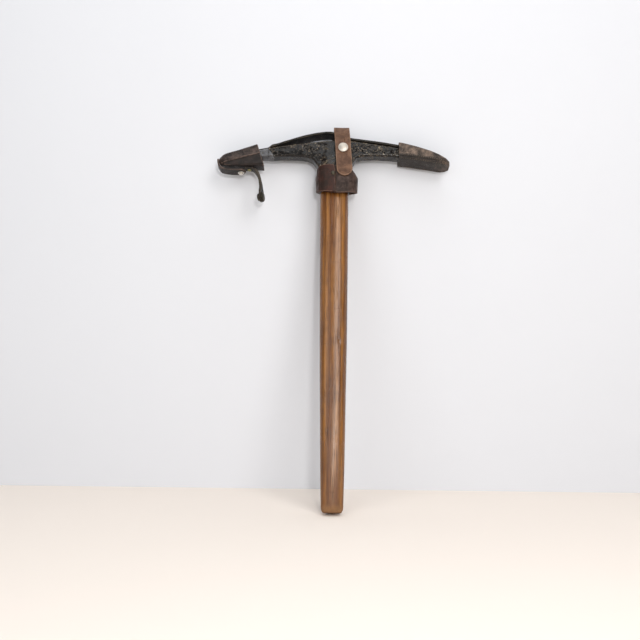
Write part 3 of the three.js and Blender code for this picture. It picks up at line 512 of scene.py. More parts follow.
def scratches_group():
    """Fine scratches in two directions."""
    group, source, sink = new_group(
        "Scratches", {"Position": None, "Scale": 60.0, "Amount": 0.5}, ["Mask"]
    )
    way = {"Rotation": (0.2, 0.5, 0.1), "Scale": (1.0, 1.0, 24.0)}
    way["Vector"] = source["Position"]
    turned = add(group, "ShaderNodeMapping", way).outputs[0]
    way = {"Rotation": (0.1, -0.9, 0.4), "Scale": (22.0, 1.0, 1.0)}
    way["Vector"] = source["Position"]
    other = add(group, "ShaderNodeMapping", way).outputs[0]
    first = spread(group, clouds(group, turned, source["Scale"], 3.0), 0.66, 0.72)
    second = spread(group, clouds(group, other, source["Scale"], 3.0), 0.68, 0.74)
    both = calc(group, "MAXIMUM", first, second)
    group.links.new(calc(group, "MULTIPLY", both, source["Amount"]), sink["Mask"])
    return group


RUBBED = rubbed_edges_group()
DIRT = settled_dirt_group()
GRAIN = leather_grain_group()
PITTING = pitting_group()
SCRATCHES = scratches_group()


# -------- finishes


class Finish:
    """A material with its shader and the place of each point on the piece."""

    def __init__(self, name):
        self.material = bpy.data.materials.new(name)
        self.material.use_nodes = True
        self.tree = self.material.node_tree
        self.tree.nodes.clear()
        self.shader = self.tree.nodes.new("ShaderNodeBsdfPrincipled")
        out = self.tree.nodes.new("ShaderNodeOutputMaterial")
        self.tree.links.new(self.shader.outputs[0], out.inputs["Surface"])
        self.place = add(self.tree, "ShaderNodeTexCoord").outputs["Object"]
        apart = add(self.tree, "ShaderNodeSeparateXYZ", {0: self.place})
        self.x, self.y, self.z = apart.outputs

    def set(self, **sockets):
        for key, value in sockets.items():
            put(self.tree, value, self.shader.inputs[key.replace("_", " ")])
        return self.material

    def bump(self, height, distance, strength=1.0):
        node = add(
            self.tree,
            "ShaderNodeBump",
            {"Height": height, "Distance": distance, "Strength": strength},
        )
        return node.outputs["Normal"]


def leather(name, base, rubbed, dark, shine=0.5, wear=0.45, dirt=0.5, tint=None):
    """Old dyed leather. tint, if given, changes the base colour from place to place:
    the collar's two tones, and painted light and shade on the sheaths.
    """
    f = Finish(name)
    t = f.tree
    grains = use(t, GRAIN, {"Position": f.place})
    edges = mask(f, RUBBED, Reach=wear)
    soil = mask(f, DIRT, Amount=dirt)
    marks = mask(f, SCRATCHES, Amount=0.4)
    ground = tint(f, base) if tint else base
    mottled = blend_colours(t, spread(t, grains["Mottle"], 0.35, 0.7), dark, ground)
    soiled = blend_colours(t, soil, mottled, dark)
    creased = blend_colours(t, calc(t, "MULTIPLY", grains["Crease"], 0.55), soiled, dark)
    scuffed = blend_colours(t, marks, creased, rubbed)
    colour = blend_colours(t, calc(t, "MULTIPLY", edges, 0.75), scuffed, rubbed)
    rough = spread(t, grains["Mottle"], 0.3, 0.75, shine + 0.12, shine - 0.1)
    rough = calc(t, "MULTIPLY_ADD", edges, 0.1, rough)
    f.set(
        Base_Color=colour,
        Roughness=rough,
        Normal=f.bump(grains["Height"], GRAIN_HEIGHT, 0.8),
        Specular_IOR_Level=0.24,
    )
    return f.material


def collar_tint(f, base):
    """The collar's left half is redder, its right half greyer, parted at the lap."""
    t = f.tree
    wander = calc(t, "MULTIPLY_ADD", clouds(t, f.place, 70.0), 12 * MM, f.x)
    right = spread(t, wander, 3 * MM, 13 * MM)
    return blend_colours(t, right, base, (0.088, 0.055, 0.044, 1))


def pick_sheath_painted_light(f, base):
    """Painted light and shade: the sheath is paler above its crease, on its lit side,
    and darker below it, on its shaded underside.
    """
    t = f.tree
    wander = calc(t, "MULTIPLY_ADD", clouds(t, f.place, 240.0), 1.6 * MM, f.z)
    level = calc(t, "MULTIPLY_ADD", f.x, -CREASE_SLOPE, wander)
    above = spread(t, level, CREASE_LEVEL, CREASE_LEVEL + 2.2 * MM)
    # Painted light: the paler, lit colour above the crease.
    return blend_colours(t, above, base, (0.098, 0.067, 0.055, 1))


def adze_sheath_painted_sheen(f, base):
    """Painted sheen: the sheath is paler on its upper half, where light from above falls,
    and towards its lit tip.
    """
    t = f.tree
    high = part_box("adze_sheath_upper")[1]
    level = calc(t, "MULTIPLY_ADD", f.x, -RIDGE_SLOPE, f.z)
    level = calc(t, "MULTIPLY_ADD", clouds(t, f.place, 90.0, 6.0), 4 * MM, level)
    lit_top = spread(t, level, RIDGE_LEVEL + 0.5 * MM, RIDGE_LEVEL + 4 * MM)
    tip = spread(t, f.x, high[0] - 24 * MM, high[0] + 2 * MM)
    # Painted sheen of the light on the upper half and on the tip.
    painted_sheen = calc(t, "MAXIMUM", lit_top, calc(t, "MULTIPLY", tip, 0.55))
    return blend_colours(t, painted_sheen, base, (0.25, 0.175, 0.130, 1))


def oiled_ash():
    """The shaft: brown ash with long streaks, pores, scratches and a worn foot."""
    f = Finish("Oiled ash")
    t = f.tree
    long = stretched(t, f.place, (1.0, 1.0, 0.035))
    streak = clouds(t, long, 150.0, 5.0, 0.6, 0.3)
    broad = clouds(t, stretched(t, f.place, (1.0, 1.0, 0.06)), 38.0, 3.0, 0.5, 0.5)
    bow = calc(t, "MULTIPLY_ADD", broad, 9 * MM, f.x)
    bowed = add(t, "ShaderNodeCombineXYZ", {0: bow}).outputs[0]
    rings = add(
        t,
        "ShaderNodeTexWave",
        {"Vector": bowed, "Scale": 42.0, "Distortion": 0.0},
        wave_type="BANDS",
        bands_direction="X",
        wave_profile="SAW",
    ).outputs["Fac"]
    pores = clouds(t, stretched(t, f.place, (1.0, 1.0, 0.022)), 1300.0, 2.0, 0.5)
    pore = spread(t, pores, 0.56, 0.68)
    light = (0.315, 0.136, 0.036, 1)
    mid = (0.158, 0.056, 0.013, 1)
    deep = (0.050, 0.018, 0.006, 1)
    ground = blend_colours(t, spread(t, streak, 0.38, 0.64), mid, light)
    ground = blend_colours(t, calc(t, "MULTIPLY", rings, 0.45), ground, deep)
    ground = blend_colours(t, calc(t, "MULTIPLY", pore, 0.8), ground, deep)
    blotch = spread(t, clouds(t, f.place, 16.0, 5.0, 0.6), 0.5, 0.72)
    ground = blend_colours(t, calc(t, "MULTIPLY", blotch, 0.4), ground, deep)
    soil = mask(f, DIRT, Cloud_scale=34.0, Amount=0.3)
    ground = blend_colours(t, soil, ground, deep)
    marks = mask(f, SCRATCHES, Scale=46.0, Amount=0.45)
    ground = blend_colours(t, marks, ground, (0.07, 0.035, 0.018, 1))
    edges = mask(f, RUBBED, Reach=0.7, Break=190.0)
    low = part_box("shaft")[0]
    foot = calc(t, "MULTIPLY_ADD", clouds(t, f.place, 120.0, 6.0, 0.65), -12 * MM, f.z)
    bare = spread(t, foot, low[2] - 3 * MM, low[2] + 6 * MM, 1.0, 0.0)
    bare = calc(t, "MAXIMUM", bare, calc(t, "MULTIPLY", edges, 0.5))
    ground = blend_colours(
        t, calc(t, "MULTIPLY", bare, 0.6), ground, (0.27, 0.14, 0.060, 1)
    )
    rough = spread(t, streak, 0.3, 0.7, 0.28, 0.19)
    rough = calc(t, "MULTIPLY_ADD", bare, 0.3, rough)
    dull = spread(t, f.z, low[2], low[2] + 120 * MM, 0.3, 0.0)
    rough = calc(t, "ADD", dull, rough)
    height = calc(t, "MULTIPLY_ADD", pore, -0.8, streak)
    height = calc(t, "MULTIPLY_ADD", marks, -1.4, height)
    f.set(
        Base_Color=ground,
        Roughness=rough,
        Normal=f.bump(height, 0.22 * MM, 0.7),
        Specular_IOR_Level=0.5,
    )
    return f.material


def painted_forging():
    """The head: black gloss paint over forged steel, chipped in speckles and rubbed
    through along its edges, and a bare grey pick beyond the slanted end of the paint.
    The pale tan along its top edges is wear and a painted highlight of light from above."""
    f = Finish("Painted forging")
    t = f.tree
    pits = {"Position": f.place, "Pits": 520.0, "Patches": 130.0, "Amount": 0.46}
    chips = use(t, PITTING, pits)
    fine_pits = {"Position": f.place, "Pits": 1100.0, "Patches": 430.0, "Amount": 0.52}
    specks = use(t, PITTING, fine_pits)
    edges = mask(f, RUBBED, Reach=0.78, Break=330.0)
    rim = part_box("head")[0][2]
    # Painted highlight: the rubbed edges stay bright only on the up-facing top of the head,
    # lit from above.
    lit_top = calc(t, "MULTIPLY_ADD", attribute(t, "upper"), 0.85, 0.15)
    lit_top = calc(t, "MULTIPLY", lit_top, spread(t, f.z, rim + 52 * MM, rim + 62 * MM, 0.15))
    edges = calc(t, "MULTIPLY", edges, lit_top)
    soil = mask(f, DIRT, Cloud_scale=110.0, Amount=0.3)
    lean = calc(
        t, "MULTIPLY_ADD", f.z, PAINT_SLANT, -(rim + PAINT_END_HEIGHT) * PAINT_SLANT
    )
    wander = calc(t, "MULTIPLY_ADD", clouds(t, f.place, 260.0, 5.0), 1.6 * MM, f.x)
    past = calc(t, "ADD", wander, lean)
    bare_pick = spread(t, past, PAINT_END - 0.4 * MM, PAINT_END + 1.2 * MM, 1.0, 0.0)
    region = spread(t, clouds(t, f.place, 34.0, 3.0), 0.36, 0.54)
    chipped = calc(t, "MAXIMUM", chips["Patch"], specks["Patch"])
    chipped = calc(t, "MULTIPLY", chipped, region)
    worn = calc(t, "MAXIMUM", chipped, calc(t, "MULTIPLY", chips["Pit"], 0.6))
    tan = blend_colours(
        t,
        spread(t, clouds(t, f.place, 420.0, 5.0), 0.38, 0.62),
        (0.115, 0.070, 0.038, 1),
        (0.26, 0.215, 0.15, 1),
    )
    grey = spread(t, clouds(t, f.place, 60.0, 4.0), 0.58, 0.68)
    tan = blend_colours(t, grey, tan, (0.13, 0.14, 0.16, 1))
    body = blend_colours(t, worn, (0.0050, 0.0042, 0.0040, 1), tan)
    body = blend_colours(t, soil, body, (0.020, 0.011, 0.007, 1))
    # Pale tan on the edges: rubbed wear, and on the top a painted highlight.
    body = blend_colours(t, calc(t, "MULTIPLY", edges, 0.85), body, (0.50, 0.37, 0.23, 1))
    steel = blend_colours(
        t,
        spread(t, clouds(t, f.place, 150.0, 7.0, 0.66), 0.36, 0.66),
        (0.075, 0.074, 0.080, 1),
        (0.150, 0.150, 0.157, 1),
    )
    steel = blend_colours(t, specks["Patch"], steel, (0.06, 0.045, 0.035, 1))
    steel = blend_colours(t, calc(t, "MULTIPLY", edges, 0.6), steel, (0.4, 0.39, 0.38, 1))
    colour = blend_colours(t, bare_pick, body, steel)
    metal = calc(t, "MAXIMUM", calc(t, "MULTIPLY", edges, 0.5), bare_pick)
    metal = calc(t, "MULTIPLY", metal, 0.45)
    rough = spread(t, clouds(t, f.place, 200.0, 4.0), 0.3, 0.7, 0.07, 0.15)
    rough = calc(t, "MULTIPLY_ADD", worn, 0.45, rough)
    rough = calc(t, "MULTIPLY_ADD", bare_pick, 0.2, rough)
    dimples = clouds(t, f.place, 140.0, 3.0, 0.5)
    height = calc(t, "MULTIPLY_ADD", dimples, 2.4, chips["Height"])
    height = calc(t, "MULTIPLY_ADD", specks["Height"], 0.5, height)
    f.set(
        Base_Color=colour,
        Metallic=metal,
        Roughness=rough,
        Normal=f.bump(height, 0.26 * MM, 0.6),
        Specular_IOR_Level=0.28,
    )
    return f.material


def plated(name, bright, tarnish, amount, smooth, rough, relief=0.05 * MM):
    """A pressed or turned metal fitting with tarnish in its hollows."""
    f = Finish(name)
    t = f.tree
    soil = mask(f, DIRT, Cloud_scale=400.0, Amount=amount)
    marks = mask(f, SCRATCHES, Scale=260.0, Amount=0.3)
    cloud = clouds(t, f.place, 700.0, 5.0)
    colour = blend_colours(t, soil, bright, tarnish)
    colour = blend_colours(t, calc(t, "MULTIPLY", cloud, 0.25), colour, tarnish)
    level = spread(t, cloud, 0.3, 0.7, smooth, rough)
    level = calc(t, "MULTIPLY_ADD", soil, 0.3, level)
    level = calc(t, "MULTIPLY_ADD", marks, 0.2, level)
    metal = calc(t, "SUBTRACT", 1.0, calc(t, "MULTIPLY", soil, 0.5))
    f.set(
        Base_Color=colour,
        Metallic=metal,
        Roughness=level,
        Normal=f.bump(calc(t, "MULTIPLY_ADD", marks, -1.0, cloud), relief, 0.6),
    )
    return f.material


def waxed_thread():
    """Twisted linen thread, waxed and dirty."""
    f = Finish("Waxed thread")
    t = f.tree
    twist = add(
        t,
        "ShaderNodeTexWave",
        {"Vector": f.place, "Scale": 900.0, "Distortion": 2.0},
        bands_direction="DIAGONAL",
    ).outputs["Fac"]
    soil = clouds(t, f.place, 300.0, 4.0)
    colour = blend_colours(
        t, spread(t, soil, 0.35, 0.65), (0.045, 0.03, 0.02, 1), (0.16, 0.11, 0.07, 1)
    )
    f.set(
        Base_Color=colour,
        Roughness=spread(t, soil, 0.3, 0.7, 0.5, 0.7),
        Normal=f.bump(twist, 0.08 * MM, 0.7),
    )
    return f.material


ASH = oiled_ash()
FORGING = painted_forging()
STRAP_LEATHER = leather(
    "Brown strap leather",
    (0.188, 0.094, 0.052, 1),
    (0.26, 0.155, 0.100, 1),
    (0.072, 0.035, 0.020, 1),
    shine=0.52,
    dirt=0.35,
)
COLLAR_LEATHER = leather(
    "Collar leather",
    (0.053, 0.014, 0.007, 1),
    (0.135, 0.080, 0.056, 1),
    (0.018, 0.009, 0.006, 1),
    shine=0.5,
    tint=collar_tint,
)
DARK_LEATHER = leather(
    "Black strap leather",
    (0.014, 0.012, 0.009, 1),
    (0.065, 0.050, 0.036, 1),
    (0.005, 0.004, 0.0035, 1),
    shine=0.42,
    wear=0.35,
)
ADZE_LEATHER = leather(
    "Adze sheath leather",
    (0.032, 0.024, 0.020, 1),
    (0.20, 0.140, 0.100, 1),
    (0.020, 0.015, 0.012, 1),
    shine=0.46,
    wear=0.16,
    tint=adze_sheath_painted_sheen,
)
PICK_LEATHER = leather(
    "Pick sheath leather",
    (0.024, 0.015, 0.012, 1),
    (0.125, 0.085, 0.068, 1),
    (0.009, 0.006, 0.005, 1),
    shine=0.44,
    tint=pick_sheath_painted_light,
)
CAP_NICKEL = plated(
    "Polished nickel",
    (0.49, 0.445, 0.39, 1),
    (0.25, 0.21, 0.16, 1),
    0.10,
    0.40,
    0.50,
    relief=0.006 * MM,
)
NICKEL = plated(
    "Nickel plate",
    (0.72, 0.68, 0.62, 1),
    (0.25, 0.21, 0.17, 1),
    0.25,
    0.26,
    0.38,
    relief=0.015 * MM,
)
BRASS = plated(
    "Dull brass", (0.34, 0.30, 0.15, 1), (0.06, 0.075, 0.045, 1), 0.7, 0.34, 0.5
)
BLACKENED = plated(
    "Blackened brass", (0.055, 0.05, 0.043, 1), (0.16, 0.13, 0.07, 1), 0.35, 0.3, 0.5
)
RIVET_STEEL = plated(
    "Rivet steel", (0.34, 0.33, 0.32, 1), (0.09, 0.06, 0.045, 1), 0.7, 0.35, 0.55
)
THREAD = waxed_thread()


# -------- pieces


def make_shaft():
    """The oval shaft, slightly uneven along its length, with small dents."""
    obj = evened("wooden_shaft", as_mesh("wooden_shaft", merged("shaft")), SHAFT_MESH)
    skin = Skin(obj)
    skin.relax(10)
    long = skin.points * np.array([1.0, 1.0, 0.16])
    skin.push(lumps(long, height=0.22 * MM, size=11 * MM, seed=3))
    rng = np.random.default_rng(11)
    low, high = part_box("shaft")
    dents = np.zeros(len(skin.points))
    for _ in range(SHAFT_DENTS):
        turn = rng.uniform(0, 2 * math.pi)
        centre = np.array(
            [
                0.5 * (high[0] - low[0]) * math.cos(turn),
                0.5 * (high[1] - low[1]) * math.sin(turn),
                rng.uniform(low[2] + 0.02, high[2] - 0.1),
            ]
        )
        away = (skin.points - centre) / np.array(DENT_REACH) / MM
        dents += np.exp(-(away**2).sum(axis=1)) * rng.uniform(*DENT_DEPTHS)
    skin.push(-dents * MM)
    skin.mark_edges(SHAFT_MESH)
    finished(obj, ["shaft"], ASH, "axe")


def make_head():
    """The forging, with hammer marks. upper marks what faces up, where the finish paints
    the edges' highlight and wear.
    """
    obj = evened("forged_head", as_mesh("forged_head", merged("head")), HEAD_MESH)
    skin = Skin(obj)
    skin.relax(5)
    skin.push(
        lumps(skin.points, height=0.20 * MM, size=9 * MM, seed=5)
        + lumps(skin.points, height=0.09 * MM, size=3.2 * MM, seed=6)
    )
    skin.mark_edges(HEAD_MESH)
    skin.mark("upper", step(0.3, 0.75, skin.normals()[:, 2]))
    finished(obj, ["head"], FORGING, "axe")


def pick_crease(points):
    """The fold along the side of the pick's sheath: a groove with a lip above it."""
    above = (points[:, 2] - CREASE_SLOPE * points[:, 0] - CREASE_LEVEL) / MM
    sunk = -CREASE_DEPTH * np.exp(-((above / CREASE_WIDTH) ** 2))
    raised = LIP_RISE * np.exp(-(((above - LIP_ABOVE) / LIP_WIDTH) ** 2))
    return (sunk + raised) * MM


def make_leather(name, node, material, slot, body, seed, seams=(), fold=None):
    """A leather piece. Each seam is a rule that gives the line of its stitches, and
    fold, if given, is a rule for how far its surface rises."""
    obj = evened(name, as_mesh(name, merged(node)), LEATHER_MESH)
    skin = Skin(obj)
    skin.relax(5)
    skin.push(lumps(skin.points, height=0.14 * MM, size=8 * MM, seed=seed))
    if fold:
        skin.push(fold(skin.points))
    skin.write()
    graph = bpy.context.evaluated_depsgraph_get()
    lines = [seam(BVHTree.FromObject(obj, graph)) for seam in seams]
    for line in lines:
        skin.push(-GROOVE_DEPTH * groove(skin.points, line))
    skin.mark_edges(LEATHER_MESH)
    finished(obj, [node], material, body)
    for number, line in enumerate(lines, 1):
        make_stitches(f"{name}_stitches_{number}", line, body, seed)


def groove(points, line):
    """1 on the line, falling to 0 a groove's width away."""
    tree = kdtree.KDTree(len(line) * GROOVE_STEPS)
    for (place, _), (ahead, _) in zip(line, line[1:]):
        for i in range(GROOVE_STEPS):
            tree.insert(place.lerp(ahead, i / GROOVE_STEPS), i)
    tree.balance()
    away = np.array([tree.find(point)[2] for point in points])
    return 1 - step(0, GROOVE_WIDTH, away)


def stitch_tree():
    """Thread stitches laid one after another along a seam, each a little askew."""
    tree = bpy.data.node_groups.new("Stitch row", "GeometryNodeTree")
    face = tree.interface
    face.new_socket("Seam", in_out="INPUT", socket_type="NodeSocketGeometry")
    sizes = {
        "Spacing": STITCH_SPACING,
        "Length": STITCH_LENGTH,
        "Thickness": STITCH_THICKNESS,
        "Askew": 0.16,
    }
    for label, value in sizes.items():
        face.new_socket(
            label, in_out="INPUT", socket_type="NodeSocketFloat"
        ).default_value = value
    face.new_socket("Seed", in_out="INPUT", socket_type="NodeSocketInt")
    face.new_socket("Thread", in_out="INPUT", socket_type="NodeSocketMaterial")
    face.new_socket("Stitches", in_out="OUTPUT", socket_type="NodeSocketGeometry")
    given = tree.nodes.new("NodeGroupInput").outputs
    line = add(tree, "GeometryNodeMeshToCurve", {"Mesh": given["Seam"]})
    even = add(
        tree, "GeometryNodeResampleCurve", {"Curve": line.outputs[0]}, mode="LENGTH"
    )
    put(tree, given["Spacing"], even.inputs["Length"])
    spots = add(
        tree, "GeometryNodeCurveToPoints", {"Curve": even.outputs[0]}, mode="EVALUATED"
    )
    loop = add(
        tree, "GeometryNodeMeshUVSphere", {"Segments": 6, "Rings": 5, "Radius": 0.5}
    )
    size = add(
        tree,
        "ShaderNodeCombineXYZ",
        {"X": given["Thickness"], "Y": given["Thickness"], "Z": given["Length"]},
    )
    most = add(tree, "ShaderNodeCombineXYZ", {i: given["Askew"] for i in range(3)})
    least = add(
        tree, "ShaderNodeVectorMath", {0: most.outputs[0], "Scale": -1.0}, operation="SCALE"
    )
    chance = add(tree, "FunctionNodeRandomValue", data_type="FLOAT_VECTOR")
    put(tree, least.outputs[0], chance.inputs[0])
    put(tree, most.outputs[0], chance.inputs[1])
    put(tree, given["Seed"], chance.inputs["Seed"])
    tilt = add(tree, "FunctionNodeEulerToRotation", {0: chance.outputs[0]})
    turned = add(tree, "FunctionNodeRotateRotation", rotation_space="LOCAL")
    put(tree, spots.outputs["Rotation"], turned.inputs[0])
    put(tree, tilt.outputs[0], turned.inputs[1])
    laid = add(
        tree,
        "GeometryNodeInstanceOnPoints",
        {
            "Points": spots.outputs["Points"],
            "Instance": loop.outputs[0],
            "Rotation": turned.outputs[0],
            "Scale": size.outputs[0],
        },
    )
    real = add(tree, "GeometryNodeRealizeInstances", {0: laid.outputs[0]})
    waxed = add(tree, "GeometryNodeSetMaterial", {"Geometry": real.outputs[0]})
    put(tree, given["Thread"], waxed.inputs["Material"])
    out = tree.nodes.new("NodeGroupOutput")
    tree.links.new(waxed.outputs[0], out.inputs["Stitches"])
    return tree


STITCH_ROW = stitch_tree()


def make_stitches(name, line, body, seed):
    """A row of thread stitches along a line of places, each with the way out there."""
    mesh = bpy.data.meshes.new(name)
    places = [place + out * STITCH_THICKNESS * STITCH_PROUD for place, out in line]
    mesh.from_pydata(places, [(i, i + 1) for i in range(len(places) - 1)], [])
    obj = link(bpy.data.objects.new(name, mesh))
    row = obj.modifiers.new("Stitches", "NODES")
    row.node_group = STITCH_ROW
    keys = {s.name: s.identifier for s in STITCH_ROW.interface.items_tree}
    row[keys["Seed"]] = seed
    row[keys["Thread"]] = THREAD
    graph = bpy.context.evaluated_depsgraph_get()
    sewn_row = bpy.data.meshes.new_from_object(obj.evaluated_get(graph))
    obj.modifiers.clear()
    obj.data = sewn_row
    obj.data.materials.clear()
    obj.data.materials.append(THREAD)
    obj.data.shade_smooth()
    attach(obj, body)


def reach(surface, start, towards):
    """Where a straight line first meets the surface, and the way out of it there."""
    place, out, _, _ = surface.ray_cast(start, towards)
    return (place, out) if place else None


def sole_height(x):
    """The underside of the adze's sheath at this x, from the sole's slope."""
    return float(np.interp(x, *SOLE_LINE))


def sole_line():
    """The sole's underside as stations along x and the height at each."""
    points = np.array([v.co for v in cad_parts["adze_sheath_sole"].data.vertices])
    stations = np.unique(points[:, 0].round(6))
    lows = [points[abs(points[:, 0] - x) < SAME_PLACE][:, 2].min() for x in stations]
    return stations, lows


SOLE_LINE = sole_line()


def adze_rim(surface, height, inset=0.0):
    """Points round the adze's sheath, from its mouth round the tip and back, at a
    height above the sole's underside. With an inset they are moved inwards."""
    low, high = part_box("adze_sheath_sole")
    start_x, turn_x = low[0] + SEAM_START, high[0] - TIP_ROUND
    ways = [(x, -90.0) for x in np.arange(start_x, turn_x, SEAM_STEP)]
    ways += [(turn_x, angle) for angle in np.linspace(-90, 90, 19)]
    ways += [(x, 90.0) for x in np.arange(turn_x, start_x, -SEAM_STEP)]
    rim = []
    for x, angle in ways:
        way = Vector((math.cos(math.radians(angle)), math.sin(math.radians(angle)), 0))
        sole = sole_height(x + TIP_LEAD * way.x)
        start = Vector((x, 0, sole + height)) + way * FAR_OUT
        met = reach(surface, start, -way)
        if met:
            rim.append((met[0] - way * inset, met[1]))
    return rim


def adze_wall_seam(surface):
    """The seam that holds the sheath's walls to its sole, seen from the side."""
    return adze_rim(surface, SOLE_LEATHER + SEAM_INSET)


def adze_sole_seam(surface):
    """The same seam seen from under the sole."""
    rim = adze_rim(surface, SOLE_LEATHER / 2, SEAM_INSET)
    up = Vector((0, 0, 1))
    met = [reach(surface, place - up * FAR_OUT, up) for place, _ in rim]
    return [found for found in met if found]


def pick_back_seam(surface):
    """The pick's sheath is sewn up along its back, low down."""
    low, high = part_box("pick_sheath")
    seam = []
    ends = low[0] + PICK_SEAM_START, high[0] - PICK_SEAM_START
    for x in np.arange(*ends, SEAM_STEP):
        start = Vector((x, FAR_OUT, low[2] + PICK_SEAM_HEIGHT))
        met = reach(surface, start, Vector((0, -1, 0)))
        if met:
            seam.append(met)
    return seam


def round_off(points):
    """Moves the rim of the flap's end out or in on to a half circle. Its radius is half
    the strap's width where the circle starts, so it is found in a few steps."""
    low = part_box("closing_strap_flap")[0]
    front = points[:, 1] < low[1] + END_DEPTH
    radius = END_RADIUS
    for _ in range(3):
        level = abs(points[:, 2] - low[2] - radius) < LEATHER_MESH
        across = points[front & level][:, 0]
        radius = (across.max() - across.min()) / 2
    centre = ((across.max() + across.min()) / 2, low[2] + radius)
    end = np.flatnonzero(front & (points[:, 2] < centre[1]))
    away = points[end][:, [0, 2]] - centre
    turn = np.arctan2(away[:, 1], away[:, 0])
    far = np.hypot(*away.T)
    sector = ((turn + math.pi) / math.pi * END_SECTORS).astype(int).clip(0, END_SECTORS)
    rim = np.array(
        [far[sector == i].max(initial=0.5 * radius) for i in range(END_SECTORS + 1)]
    )
    middles = (np.arange(END_SECTORS + 1) + 0.5) / END_SECTORS * math.pi - math.pi
    growth = radius / np.interp(turn, middles, rim)
    share = step(0.5, 1.0, far * growth / radius) * step(0, END_FADE, -away[:, 1])
    share = share[:, None]
    points[np.ix_(end, [0, 2])] = centre + away * (1 + share * (growth[:, None] - 1))


def make_closing_strap():
    """The strap over the crown, dented round its cap, with a short slit above it."""
    nodes = ["closing_strap_back", "closing_strap_flap"]
    obj = evened("closing_strap", sewn("closing_strap", *nodes), LEATHER_MESH)
    skin = Skin(obj)
    skin.relax(5)
    round_off(skin.points)
    skin.push(lumps(skin.points, height=0.16 * MM, size=9 * MM, seed=21))
    low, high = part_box("flap_snap_cap")
    middle = (low + high) / 2
    x, y, z = (skin.points / MM).T
    front = y < STRAP_FRONT
    from_cap = np.hypot(x - middle[0] / MM, z - middle[2] / MM)
    press = np.exp(-(((from_cap - PRESS_RADIUS) / PRESS_WIDTH) ** 2)) * front
    aside = x - middle[0] / MM - SLIT_ASIDE
    along = abs(z - middle[2] / MM - SLIT_ABOVE)
    slit = step(-SLIT_HALF_LENGTH, SLIT_FADE - SLIT_HALF_LENGTH, -along) * front
    slit = slit * np.exp(-((aside / SLIT_HALF_WIDTH) ** 2))
    skin.push(-PRESS_DEPTH * press - SLIT_DEPTH * slit)
    skin.mark_edges(LEATHER_MESH)
    finished(obj, nodes, STRAP_LEATHER)
    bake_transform(obj)


def make_hanging_strap():
    """The narrow strap under the pick's sheath, fuller between its two fittings."""
    nodes = ["pick_strap_root", "pick_strap"]
    obj = evened("hanging_strap", sewn("hanging_strap", *nodes), STRAP_MESH)
    skin = Skin(obj)
    skin.relax(5)
    skin.push(lumps(skin.points, height=0.1 * MM, size=6 * MM, seed=31))
    fuller = np.ones(len(skin.points))
    for fitting in ("pick_strap_rivet", "pick_strap_snap_cap"):
        corner, far_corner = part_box(fitting)
        centre = np.array((corner + far_corner) / 2)
        away = np.linalg.norm(skin.points - centre, axis=1)
        fuller *= step(7 * MM, 13 * MM, away)
    skin.push(HANGING_STRAP_SWELL * fuller)
    skin.mark_edges(STRAP_MESH)
    finished(obj, nodes, DARK_LEATHER)
    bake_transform(obj)


def make_fitting(node, material, body):
    """A small pressed or turned fitting, with softened rims."""
    name = node + "_metal"
    obj = evened(name, as_mesh(name, merged(node)), FITTING_MESH)
    skin = Skin(obj)
    skin.relax(12)
    skin.push(lumps(skin.points, height=0.02 * MM, size=1.6 * MM, seed=len(node)))
    skin.mark_edges(FITTING_EDGE)
    finished(obj, [node], material, body)


def make_front_cap():
    """The domed cap on the closing strap, with a rolled rim, turned about Y."""
    low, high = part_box("flap_snap_cap")
    radius = (high[0] - low[0]) / 2
    middle = (low + high) / 2
    face = low[1] + CAP_DOME
    profile = [
        (0.0, high[1]),
        (CAP_SHANK, high[1]),
        (CAP_SHANK, face),
        (radius * 0.86, face),
        (radius * 0.96, face - 0.12 * MM),
        (radius, face - 0.5 * MM),
        (radius * 0.97, face - 0.95 * MM),
        (radius * 0.91, face - 1.1 * MM),
        (radius * 0.86, face - 0.98 * MM),
        (radius * 0.80, face - 1.1 * MM),
        (radius * 0.64, face - 1.55 * MM),
        (radius * 0.44, face - 1.88 * MM),
        (radius * 0.22, face - 2.05 * MM),
        (0.0, low[1]),
    ]
    part = bmesh.new()
    rings = []
    for r, y in profile:
        if r == 0.0:
            rings.append([part.verts.new((middle[0], y, middle[2]))])
            continue
        angles = [2 * math.pi * i / CAP_SIDES for i in range(CAP_SIDES)]
        rings.append(
            [
                part.verts.new(
                    (middle[0] + r * math.cos(a), y, middle[2] + r * math.sin(a))
                )
                for a in angles
            ]
        )
    for ring, ahead in zip(rings, rings[1:]):
        for i in range(CAP_SIDES):
            j = (i + 1) % CAP_SIDES
            corners = [ring[i % len(ring)], ring[j % len(ring)]]
            corners += [ahead[j % len(ahead)], ahead[i % len(ahead)]]
            part.faces.new(list(dict.fromkeys(corners)))
    bmesh.ops.recalc_face_normals(part, faces=part.faces)
    obj = link(bpy.data.objects.new("front_snap_cap", as_mesh("front_snap_cap", part)))
    smooth = obj.modifiers.new("Finer", "SUBSURF")
    smooth.levels = smooth.render_levels = 2
    finished(obj, ["flap_snap_cap"], CAP_NICKEL, "closing_flap")


make_front_cap()
make_shaft()
make_head()
make_closing_strap()
make_hanging_strap()

